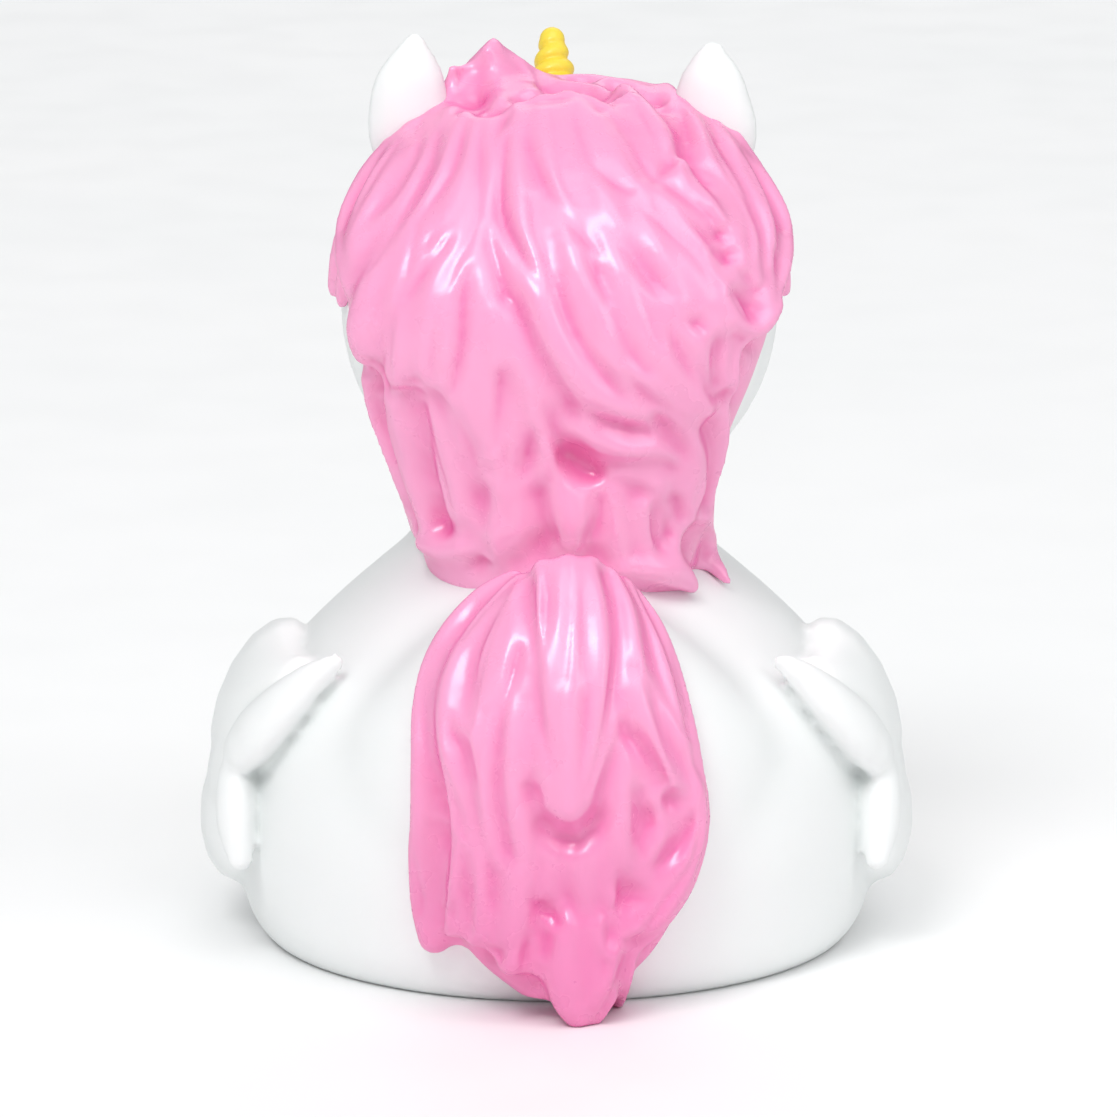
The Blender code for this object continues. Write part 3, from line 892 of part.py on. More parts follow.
def eyes(bm):
    skin = tree(head)
    for side in (-1, 1):
        line = head_line(side * EYE_TURN, EYE_RISE)
        place = line[0] + settle(line, 0.0, skin) * line[1]
        out = outward(place, skin)
        turn = Vector((0.0, 1.0, 0.0)).rotation_difference(out)
        ball(bm, EYE_HALF, turn, place - (EYE_HALF.y - EYE_STAND) * out)


def mane(bm):
    form = tree(scalp, body)
    scalp(bm)
    for lift, knots in MANE_LOCKS:
        laid_bar(bm, lift, knots, back_line, form, lock_height)
    skin = tree(head, scalp)
    for lift, knots in FACE_LOCKS:
        for side in (-1, 1):
            route = tuple((side * turn, rise, half) for turn, rise, half in knots)
            laid_bar(bm, lift, route, head_line, skin, lock_height, FACE_STEP)


def tail(bm):
    form = tree(body, dock)
    dock(bm)
    for lift, knots in TAIL_LOCKS:
        laid_bar(bm, lift, knots, back_line, form, lock_height)


def sheet_places(points):
    """Where points are seen on the sheet, in millimetres, as rows of right and down."""
    ahead = np.array((0.0, math.cos(SIGHT_TILT), -math.sin(SIGHT_TILT)))
    up = np.array((0.0, math.sin(SIGHT_TILT), math.cos(SIGHT_TILT)))
    offsets = points - np.array(SHEET_MIDDLE) + SIGHT_DISTANCE * ahead
    scale = SIGHT_DISTANCE / MM / (offsets @ ahead)
    return np.stack((SHEET_HALF + offsets[:, 0] * scale, SHEET_HALF - (offsets @ up) * scale), axis=1)


def groove_depths(places, grooves):
    """How deep each place on the sheet lies in the grooves, in millimetres."""
    depths = np.zeros(len(places))
    for depth, knots in grooves:
        route = np.array(smooth_curve(knots, steps_of(GROOVE_STEP)))
        widest = route[:, 2].max()
        margin = 2.2 * max(GROOVE_SHOULDER, widest)
        low = route[:, :2].min(axis=0) - margin
        high = route[:, :2].max(axis=0) + margin
        near = np.flatnonzero(((places > low) & (places < high)).all(axis=1))
        gaps = np.linalg.norm(places[near, None, :] - route[None, :, :2], axis=2)
        closest = gaps.argmin(axis=1)
        half = route[closest, 2]
        gap = gaps[np.arange(len(near)), closest]
        core = GROOVE_CORE_SHARE * np.exp(-((gap / half) ** 2))
        shoulder = (1.0 - GROOVE_CORE_SHARE) * np.exp(-((gap / np.maximum(half, GROOVE_SHOULDER)) ** 2))
        depths[near] = np.maximum(depths[near], depth * half / widest * (core + shoulder))
    return depths


def vectors_of(items, name):
    """One vector of each item, as rows."""
    flat = np.empty(3 * len(items))
    items.foreach_get(name, flat)
    return flat.reshape(-1, 3)


def carve(mesh, grooves):
    """Presses grooves into the side of a skin that faces the line of sight."""
    points = vectors_of(mesh.vertices, "co")
    normals = vectors_of(mesh.vertex_normals, "vector")
    eye, _ = back_line(SHEET_HALF, SHEET_HALF)
    sights = points - np.array(eye)
    sights /= np.linalg.norm(sights, axis=1)[:, None]
    facing = np.clip(-GROOVE_FACING * (normals * sights).sum(axis=1), 0.0, 1.0)
    depths = facing * groove_depths(sheet_places(points), grooves) * MM
    points -= depths[:, None] * normals
    mesh.vertices.foreach_set("co", points.ravel())
    mesh.update()


def fuse(piece, size):
    """Makes whatever a piece holds into one closed skin on a grid of this size."""
    made = piece.modifiers.new("fuse", "REMESH")
    made.mode = "VOXEL"
    made.voxel_size = size


def soften(piece, steps):
    made = piece.modifiers.new("soften", "SMOOTH")
    made.factor = SMOOTH_SHARE
    made.iterations = steps


def piece_of(name, *makers):
    """An object that holds some forms."""
    bm = bmesh.new()
    for maker in makers:
        maker(bm)
    closed(bm)
    mesh = bpy.data.meshes.new(name)
    bm.to_mesh(mesh)
    bm.free()
    piece = bpy.data.objects.new(name, mesh)
    bpy.context.scene.collection.objects.link(piece)
    return piece


def blended(maker, size, swell, steps):
    """The forms of a maker with the creases between them filled, as one mesh."""
    mass = piece_of("mass", maker)
    for push in (swell, -swell):
        fuse(mass, size)
        moved = mass.modifiers.new("swell", "DISPLACE")
        moved.strength = push
        moved.mid_level = 0.0
    fuse(mass, size)
    soften(mass, steps)
    mesh = evaluated_mesh(mass)
    bpy.data.objects.remove(mass, do_unlink=True)
    return mesh


def combed(locks, size, grooves):
    """Locks blended into one soft mass and then grooved."""
    mesh = blended(locks, size, HAIR_SWELL, HAIR_SMOOTH_STEPS)
    carve(mesh, grooves)
    return mesh


def torso(bm):
    bm.from_mesh(blended(body, TORSO_SIZE, TORSO_SWELL, TORSO_SMOOTH_STEPS))


def mane_hair(bm):
    bm.from_mesh(combed(mane, HAIR_SIZE, MANE_GROOVES))


def tail_hair(bm):
    bm.from_mesh(combed(tail, HAIR_SIZE, TAIL_GROOVES))


REGIONS = (
    ("white vinyl", (torso, head, wings, ears)),
    ("pink paint", (mane_hair, tail_hair)),
    ("yellow paint", (horn,)),
    ("orange paint", (bill,)),
    ("black paint", (eyes,)),
)


def material_for(name):
    colour, roughness = PAINTS[name]
    made = bpy.data.materials.new(name)
    made.use_nodes = True
    shader = made.node_tree.nodes["Principled BSDF"]
    shader.inputs["Base Color"].default_value = (*colour, 1.0)
    shader.inputs["Roughness"].default_value = roughness
    shader.inputs["Metallic"].default_value = 0.0
    return made


def evaluated_mesh(thing):
    bpy.context.view_layer.update()
    graph = bpy.context.evaluated_depsgraph_get()
    return bpy.data.meshes.new_from_object(thing.evaluated_get(graph))


def painted_forms():
    """A piece for each paint, made of all the forms that it covers."""
    return [piece_of(name, *makers) for name, makers in REGIONS]


def fused_skin(forms):
    """Every form fused into one closed skin and thinned to a moderate number of faces."""
    duck = piece_of("duck", *(joined(form) for form in forms))
    fuse(duck, FUSE_SIZE)
    soften(duck, SMOOTH_STEPS)
    duck.data = evaluated_mesh(duck)
    duck.modifiers.clear()
    thin = duck.modifiers.new("thin", "DECIMATE")
    thin.ratio = MOST_TRIANGLES / (2 * len(duck.data.polygons))
    return duck


def joined(form):
    """A maker that adds a piece's mesh."""
    return lambda bm: bm.from_mesh(form.data)


def flatten_base(duck):
    """Cuts off what lies below z = 0, which leaves a flat face to stand on."""
    bm = bmesh.new()
    bmesh.ops.create_cube(bm, size=CUTTER_SIDE)
    mesh = bpy.data.meshes.new("base_cutter")
    bm.to_mesh(mesh)
    bm.free()
    cutter = bpy.data.objects.new("base_cutter", mesh)
    bpy.context.scene.collection.objects.link(cutter)
    cutter.location.z = -0.5 * CUTTER_SIDE
    cutter.hide_render = True
    cutter.display_type = "WIRE"
    cut = duck.modifiers.new("flat base", "BOOLEAN")
    cut.operation = "DIFFERENCE"
    cut.solver = "EXACT"
    cut.object = cutter
    duck.data = evaluated_mesh(duck)
    duck.modifiers.clear()


def paint(duck, forms):
    """Gives each face the paint of the form nearest to it, and the first one only where it is clearly so."""
    trees = [tree(joined(form)) for form in forms]
    for name, _ in REGIONS:
        duck.data.materials.append(material_for(name))
    for face in duck.data.polygons:
        gaps = [found.find_nearest(face.center)[3] for found in trees]
        gaps[0] += PAINT_LEAD
        face.material_index = gaps.index(min(gaps))


def main():
    clear_scene()
    forms = painted_forms()
    duck = fused_skin(forms)
    flatten_base(duck)
    paint(duck, forms)
    for form in forms:
        bpy.data.objects.remove(form, do_unlink=True)
    duck.data.shade_smooth()


main()
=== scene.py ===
"""Looks of the bath duck: one fine skin for each field of colour, soft light and a pale floor.

Tables and forms are those of the solid, on finer grids, with the hair blended a little more and its
grooves a little shallower. Hollows are found from the skin itself and take a deeper colour as painted
shade; rims take some too, and the pink paint darkens towards the floor as painted shade.
"""

import math

import bmesh
import bpy
import numpy as np
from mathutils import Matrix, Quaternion, Vector
from mathutils.bvhtree import BVHTree

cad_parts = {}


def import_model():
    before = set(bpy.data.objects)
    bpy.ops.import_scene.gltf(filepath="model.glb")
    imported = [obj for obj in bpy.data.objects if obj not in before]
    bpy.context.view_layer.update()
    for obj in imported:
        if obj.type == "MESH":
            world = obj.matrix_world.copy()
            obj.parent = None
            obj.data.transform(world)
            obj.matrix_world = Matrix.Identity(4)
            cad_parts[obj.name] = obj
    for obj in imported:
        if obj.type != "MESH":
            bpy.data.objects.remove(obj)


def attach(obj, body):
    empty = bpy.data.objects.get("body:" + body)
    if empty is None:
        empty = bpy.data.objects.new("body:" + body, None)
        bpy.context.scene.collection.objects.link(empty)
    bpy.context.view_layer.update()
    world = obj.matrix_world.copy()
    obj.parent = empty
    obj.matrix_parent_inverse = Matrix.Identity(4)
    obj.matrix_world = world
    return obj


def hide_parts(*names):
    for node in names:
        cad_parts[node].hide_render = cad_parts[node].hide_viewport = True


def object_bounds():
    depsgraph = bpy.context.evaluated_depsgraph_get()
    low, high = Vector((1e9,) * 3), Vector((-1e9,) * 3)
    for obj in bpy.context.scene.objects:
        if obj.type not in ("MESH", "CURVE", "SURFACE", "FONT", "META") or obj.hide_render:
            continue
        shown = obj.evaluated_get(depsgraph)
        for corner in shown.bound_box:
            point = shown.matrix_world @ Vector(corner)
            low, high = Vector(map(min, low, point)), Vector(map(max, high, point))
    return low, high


MM = 0.001


def mm(*lengths):
    """A point or a size, from millimetres to metres."""
    return Vector([length * MM for length in lengths])


# Drawing sheet of the back view: full size, square to the line of sight, with its middle here.
# A place on it is (right, down) in millimetres from its top left corner.
SHEET_MIDDLE = mm(0.0, 0.0, 37.7)
SHEET_HALF = 55.85  # in millimetres, like every place on the sheet
SIGHT_TILT = math.radians(12.0)
SIGHT_DISTANCE = 700.0 * MM
SIGHT_UP = Vector((0.0, math.sin(SIGHT_TILT), math.cos(SIGHT_TILT)))
SIGHT_AHEAD = Vector((0.0, math.cos(SIGHT_TILT), -math.sin(SIGHT_TILT)))
EYE = SHEET_MIDDLE - SIGHT_DISTANCE * SIGHT_AHEAD
SIDE_DISTANCE = 100.0  # where level lines from one side start, in millimetres

# Body rings in millimetres, bottom to top: height, half width, reach to the front and to the back.
BODY_RINGS = (
    (-3, 23, 25, 23), (-0.8, 28.2, 30.5, 28), (1, 30.2, 32.5, 30.8),
    (3.5, 31.4, 34, 32.2), (8, 32.1, 36, 33.4), (14, 32.1, 37.4, 34.5),
    (20, 31, 37.6, 34), (25, 28.9, 36, 31.6), (29, 26, 33, 28.2),
    (33, 22, 29, 24), (36.5, 18, 25, 19.6), (39.5, 14.6, 21.5, 15.6),
    (43, 13, 19.5, 12), (47, 12.6, 18.5, 10), (51, 9, 15, 6),
)
BODY_SIDE_SHIFT = -0.2

# Rump rings, from inside the body up to the root of the tail: height, half width, front, back.
RUMP_RINGS = (
    (6, 18, 10, 34), (12, 21, 8, 35.8), (18, 22.6, 6, 36.6),
    (24, 21.8, 2, 36.4), (29, 18, -4, 35.4), (33, 14, -9, 34),
    (36.5, 10, -14, 32.4), (39.5, 6.4, -18, 30.6), (41.5, 3, -21, 28.4),
)

HEAD_MIDDLE = mm(0.1, 6.0, 62.4)
HEAD_HALF = mm(21.9, 21.6, 20.8)

# Wings: pads seen from the side, each with its half height and then (forward, height, half width), and
# feather tips behind them, drawn on the left half of the sheet. The right wing is the left one mirrored.
WING_PADS = (
    (3.3, (4.5, 27.4, 5), (4, 22, 10.5), (2.5, 15, 12), (1.5, 8.5, 8)),
    (4.1, (12.5, 20.5, 4), (8, 22, 7), (2, 23.2, 8.6), (-4, 24.4, 7.2), (-9.5, 26.6, 3.6)),
    (3.8, (11, 12, 3.6), (6, 11.8, 6), (0, 11.6, 7), (-5.5, 11.8, 5.4), (-9, 12.4, 3)),
)
FEATHER_TIPS = (
    ((34, 65.9, 0.4), (31.2, 67.8, 1.8), (28.2, 70.6, 3), (25.4, 73.6, 3.5), (24, 75.2, 2.6)),
    ((23.4, 77, 1.8), (23.4, 79.6, 2.7), (23.5, 82.6, 2.4), (24.1, 86.2, 1)),
)
FEATHER_LIFT = 2.3
FEATHER_THICK = 0.9 * MM
FEATHER_THICK_SHARE = 0.35

# Ears, in one upright plane: right and down on the sheet, half width.
EAR_PLANE = 6.5 * MM
EAR_THICK_SHARE = 0.62
EARS = (
    ((42.6, 17, 4), (41.2, 13.5, 4.4), (40.9, 10, 4), (41.2, 7.2, 3.3), (41.4, 5, 1.9),
     (41.5, 3.9, 1.1)),
    ((70.4, 17, 4), (71.4, 13.5, 4.4), (71.2, 10, 3.9), (71.2, 7.4, 3.1), (71.2, 5.6, 1.9),
     (71.3, 4.6, 1.1)),
)

# Horn: a cone leaning forward, with a roll that climbs round it.
HORN_ROOT = mm(-0.3, 17.0, 77.6)
HORN_TIP = mm(-0.65, 22.3, 86.9)
HORN_ROOT_RADIUS = 4.2 * MM
HORN_TIP_RADIUS = 1.3 * MM
HORN_PITCH = 1.83 * MM
HORN_GROOVE = 0.7 * MM
HORN_START = 0.32  # where the first roll begins, as a share of a turn
HORN_SIDES = 40
HORN_STEPS_A_ROLL = 10

# Bill: an upper lip, and a smaller lower one given as shares of the upper.
BILL_MIDDLE = mm(0.1, 28.7, 57.6)
BILL_HALF_WIDTH = 8.6 * MM
BILL_REACH = 10.5 * MM
BILL_LIP = 2.7 * MM
BILL_TILT = math.radians(8.0)
BILL_UPPER_RISE = 0.5
BILL_LOWER_DROP = 0.8
BILL_LOWER_SHARES = (0.82, 0.84, 0.85)
BILL_LOWER_TILT = math.radians(-3.2)

# Eyes: low domes on the face, in degrees round and above the head's middle.
EYE_TURN = 28.0
EYE_RISE = 12.0
EYE_HALF = mm(3.1, 1.6, 4.2)
EYE_STAND = 0.7 * MM

# Under-hair: the form that the locks of the mane lie on. Height, half width, front, back.
SCALP_RINGS = (
    (36, 11, 2, 17.5), (39, 13.4, 3, 18), (43, 13.6, 3, 17.6),
    (48, 15, 3, 17.6), (53, 17, 4, 18.2), (58, 19, 4, 18.9),
    (64, 20.8, 5, 18.9), (70, 20.8, 8, 16.6), (75, 18.6, 12, 12.4),
    (78.6, 15.4, 15.6, 8.2), (81.6, 10.4, 15.6, 3.2), (83.4, 5, 12.4, -1),
)
SCALP_SIDE_SHIFT = 0.2

# Under-tail: height, half width, front, back.
DOCK_RINGS = (
    (2, 4, -30, 36.6), (6, 8.6, -30, 37.2), (12, 11.6, -30, 37.6),
    (20, 12.4, -30, 38), (27, 11.6, -28, 38), (33, 9.4, -24, 36.4),
    (38, 6.4, -22, 33.6), (41.4, 3.4, -22, 30.4),
)
DOCK_SIDE_SHIFT = 0.3

# Tables of locks and grooves have whole numbers: places on the sheet in tenths of a millimetre, and the
# other numbers in tenths for locks and in hundredths for grooves.
TENTHS = 10
HUNDREDTHS = 100

# Locks: how far the middle of the bar stands off the form below, then the places of its route, each as
# (right, down, half width).
MANE_LOCKS = (
    # Left of the crown, from the edge inwards
    (10, (402, 128, 6), (374, 168, 9), (350, 210, 11), (345, 250, 12), (349, 284, 8), (350, 298, 3)),
    (9, (418, 124, 11), (396, 160, 18), (377, 200, 22), (363, 240, 21), (357, 270, 11), (352, 288, 4)),
    (9, (436, 112, 12), (424, 145, 15), (404, 185, 17), (383, 224, 15), (370, 253, 8), (366, 266, 3)),
    (11, (454, 114, 11), (438, 150, 15), (414, 200, 18), (390, 250, 18), (373, 295, 20), (364, 330, 21),
     (366, 352, 16)),
    (15, (466, 120, 11), (450, 165, 14), (428, 215, 16), (412, 265, 18), (400, 315, 18), (397, 355, 17),
     (400, 380, 13)),
    (15, (480, 125, 10), (465, 170, 14), (449, 220, 15), (438, 270, 18), (432, 320, 18), (428, 360, 16),
     (428, 386, 10)),
    (15, (494, 125, 9), (486, 175, 13), (474, 225, 16), (460, 275, 17), (452, 325, 16), (449, 370, 14),
     (454, 410, 12), (466, 450, 9), (476, 480, 4)),
    (12, (503, 135, 8), (492, 180, 11), (482, 225, 12), (478, 270, 15), (475, 315, 14), (471, 360, 14),
     (469, 400, 13), (474, 440, 13), (486, 480, 11)),
    (12, (500, 190, 6), (494, 235, 10), (494, 285, 13), (497, 330, 14), (496, 375, 13), (493, 420, 13),
     (498, 465, 13), (504, 500, 10)),
    # Round the parting
    (11, (503, 208, 7), (509, 246, 11), (520, 280, 12), (540, 308, 9), (560, 326, 4)),
    (10, (506, 300, 8), (518, 350, 14), (536, 400, 15), (546, 440, 15), (548, 474, 10)),
    (9, (509, 380, 8), (513, 425, 12), (518, 470, 13), (522, 500, 9)),
    # Long sweeping locks, from the crown to the lower right
    (14, (518, 112, 12), (514, 160, 16), (519, 206, 18), (530, 255, 19), (542, 300, 20), (559, 345, 22),
     (580, 380, 23), (609, 403, 19), (640, 416, 10)),
    (15, (542, 104, 13), (549, 145, 17), (560, 190, 19), (572, 235, 19), (584, 280, 20), (600, 325, 21),
     (623, 365, 21), (656, 396, 17), (690, 418, 8)),
    (16, (568, 99, 12), (580, 135, 16), (596, 180, 18), (612, 225, 19), (625, 270, 19), (641, 315, 19),
     (664, 355, 18), (690, 386, 14), (709, 410, 7)),
    (17, (588, 102, 9), (606, 132, 13), (628, 172, 16), (646, 218, 17), (660, 265, 17), (678, 310, 16),
     (698, 348, 13), (710, 374, 7)),
    (18, (605, 108, 6), (622, 132, 8), (644, 166, 11), (662, 204, 14), (680, 250, 15), (700, 296, 14),
     (720, 330, 9)),
    (20, (666, 188, 7), (682, 220, 13), (700, 258, 15), (722, 296, 15), (743, 323, 14), (763, 325, 11),
     (779, 304, 7)),
    # Right of the crown
    (16, (624, 92, 11), (642, 114, 15), (659, 140, 16), (668, 164, 12)),
    (22, (679, 168, 12), (686, 186, 14), (704, 206, 14), (722, 224, 8)),
    (9, (704, 202, 17), (718, 230, 21), (728, 256, 19), (736, 282, 15)),
    (15, (666, 90, 9), (684, 115, 13), (699, 142, 15), (716, 169, 16), (735, 198, 15), (747, 228, 13),
     (748, 256, 11), (734, 272, 14)),
    (15, (702, 112, 8), (725, 146, 12), (747, 182, 13), (763, 218, 12), (767, 254, 11), (761, 284, 12)),
    (13, (732, 134, 8), (752, 166, 11), (770, 198, 12), (782, 230, 12), (783, 264, 11), (773, 292, 11)),
    (8, (754, 164, 5), (774, 196, 8), (785, 228, 9), (782, 256, 4)),
    (12, (730, 336, 9), (730, 360, 11), (731, 386, 10)),
    (12, (707, 336, 8), (710, 360, 9), (714, 386, 5)),
    # Lower right
    (6, (722, 400, 7), (722, 430, 9), (717, 460, 9), (709, 490, 8), (706, 515, 8)),
    (9, (682, 422, 10), (697, 452, 11), (699, 480, 10), (692, 506, 8)),
    (9, (658, 424, 10), (678, 450, 9), (690, 468, 5)),
    (13, (578, 426, 9), (602, 440, 14), (630, 450, 15), (658, 452, 11), (674, 457, 5)),
    (9, (600, 486, 7), (632, 483, 11), (662, 486, 12), (684, 502, 10), (689, 520, 6)),
    # Lower left, under the step
    (5, (367, 376, 7), (374, 410, 8), (389, 450, 8), (406, 495, 7), (419, 534, 6)),
    (5, (397, 394, 15), (404, 430, 18), (414, 470, 16), (423, 500, 14), (429, 522, 12)),
    (6, (434, 404, 10), (440, 435, 15), (450, 468, 18), (458, 496, 18), (463, 514, 16)),
    # Ends over the back
    (9, (422, 542, 9), (440, 549, 12), (462, 548, 12)),
    (10, (496, 510, 13), (496, 534, 17), (492, 553, 14)),
    (9, (520, 504, 12), (519, 526, 13), (512, 543, 9)),
    (11, (560, 482, 9), (566, 500, 18), (570, 522, 22), (571, 538, 16)),
    (8, (612, 496, 11), (613, 522, 13), (618, 548, 11)),
    (9, (643, 504, 13), (645, 526, 13), (650, 546, 10)),
    (7, (669, 514, 7), (673, 542, 9)),
    (10, (624, 568, 9), (654, 569, 14), (678, 574, 16), (694, 588, 7)),
    (10, (704, 516, 7), (708, 536, 9), (709, 552, 8)),
    (8, (710, 556, 8), (719, 570, 8), (730, 584, 3)),
    # Curls on the crown, behind the horn
    (4, (502, 108, 13), (499, 90, 19), (496, 70, 18), (494, 52, 12), (494, 43, 7)),
    (6, (462, 102, 8), (466, 82, 10), (476, 64, 9), (488, 51, 6)),
    (6, (532, 94, 9), (524, 76, 10), (512, 61, 9), (502, 52, 6)),
    (4, (453, 68, 6), (454, 88, 7)),
    (6, (518, 63, 7), (534, 77, 9), (556, 86, 9), (580, 89, 8), (602, 92, 6)),
    (6, (604, 88, 6), (622, 85, 7), (642, 88, 7), (664, 92, 6)),
    (6, (420, 106, 6), (434, 96, 7), (454, 96, 7)),
)

TAIL_LOCKS = (
    # Left locks, from the edge inwards
    (10, (516, 576, 7), (486, 594, 11), (456, 626, 13), (435, 664, 14), (425, 710, 14), (423, 760, 13),
     (422, 810, 13), (422, 860, 15), (427, 905, 17), (435, 939, 17)),
    (12, (520, 580, 7), (496, 606, 11), (470, 644, 14), (452, 690, 16), (450, 740, 14), (457, 790, 11),
     (462, 840, 11), (457, 890, 10), (451, 930, 8)),
    (14, (523, 584, 6), (505, 620, 10), (488, 664, 13), (479, 714, 14), (483, 770, 14), (486, 830, 13),
     (484, 886, 13), (477, 936, 12)),
    (14, (527, 588, 6), (517, 626, 10), (509, 674, 13), (510, 730, 15), (514, 790, 16), (519, 850, 17),
     (516, 910, 19), (512, 962, 16)),
    # Long lobe down the middle, over the others
    (8, (532, 580, 10), (528, 630, 13), (532, 690, 14), (536, 750, 15), (538, 810, 15)),
    (8, (604, 580, 10), (614, 630, 13), (618, 690, 14), (614, 750, 15), (606, 800, 15)),
    (20, (544, 569, 12), (541, 610, 15), (546, 660, 14), (549, 710, 13), (549, 760, 14), (552, 802, 15)),
    (23, (568, 565, 13), (569, 610, 14), (570, 660, 14), (569, 710, 15), (568, 760, 17), (569, 808, 19)),
    (20, (590, 567, 13), (596, 610, 15), (601, 660, 15), (600, 710, 14), (592, 760, 13), (584, 802, 12)),
    # Right locks
    (18, (609, 574, 8), (624, 610, 12), (633, 654, 13), (642, 700, 12), (656, 746, 10), (670, 786, 6)),
    (14, (623, 582, 7), (640, 614, 10), (656, 660, 12), (670, 710, 12), (684, 760, 10), (696, 800, 11),
     (694, 840, 12), (679, 880, 14), (656, 914, 15), (639, 932, 12)),
    (10, (634, 594, 7), (654, 626, 10), (671, 670, 11), (685, 720, 10), (696, 770, 8), (702, 810, 8),
     (699, 846, 8), (686, 886, 8), (666, 918, 7), (646, 940, 6)),
    (10, (614, 716, 5), (606, 754, 6), (598, 794, 5), (586, 830, 4)),
    # Under the middle lobe
    (8, (624, 730, 9), (622, 780, 15), (620, 830, 18), (616, 880, 14), (612, 910, 8)),
    (6, (584, 820, 16), (584, 860, 19), (584, 900, 16), (584, 930, 12)),
    (6, (550, 810, 13), (550, 860, 15), (546, 900, 12)),
    (4, (650, 800, 14), (654, 840, 16), (646, 876, 12)),
    # Bottom lock
    (16, (566, 926, 14), (564, 960, 18), (569, 994, 20), (579, 1014, 16)),
    (16, (604, 926, 14), (606, 960, 18), (602, 990, 18), (592, 1014, 14)),
    (10, (632, 944, 7), (626, 974, 8), (614, 1004, 9), (600, 1020, 7)),
)

# Locks on the front and sides of the head, as (degrees from the face to the right, degrees above the
# head's middle, half width). Each is made on both sides.
FACE_LOCKS = (
    (0.5, (8, 66, 0.8), (24, 60, 1.4), (44, 50, 1.7), (60, 36, 1.4), (68, 24, 0.6)),
    (0.6, (6, 74, 0.8), (36, 68, 1.6), (62, 54, 2), (76, 36, 1.8), (82, 18, 1.3),
     (84, 6, 0.5)),
    (0.6, (60, 76, 1.2), (84, 62, 2), (92, 42, 2.2), (94, 22, 1.8), (92, 4, 0.9)),
    (0.5, (100, 60, 1.6), (106, 42, 2.2), (108, 24, 2), (106, 10, 1.2),
     (104, 2, 0.5)),
)

# Locks: half height from half width, how many corners a section has, and how far apart sections are,
# in millimetres on the sheet and in degrees round the head.
LOCK_LEAST_HEIGHT = 0.4 * MM
LOCK_HEIGHT_SHARE = 0.62
LOCK_SIDES = 14
LOCK_STEP = 0.9
FACE_STEP = 3.0
LAY_EVENING = 3
OUT_EVENING = 2
SETTLE_NEAR = 0.01 * MM
ON_SKIN = 10 * SETTLE_NEAR
CAP_ANGLES = (math.radians(20.0), math.radians(45.0), math.radians(70.0))

# Plain forms: corners round a loft, rings between two of its sizes, and corners round an ellipsoid.
LOFT_SIDES = 64
LOFT_BETWEEN = 5
BALL_SIDES = 48

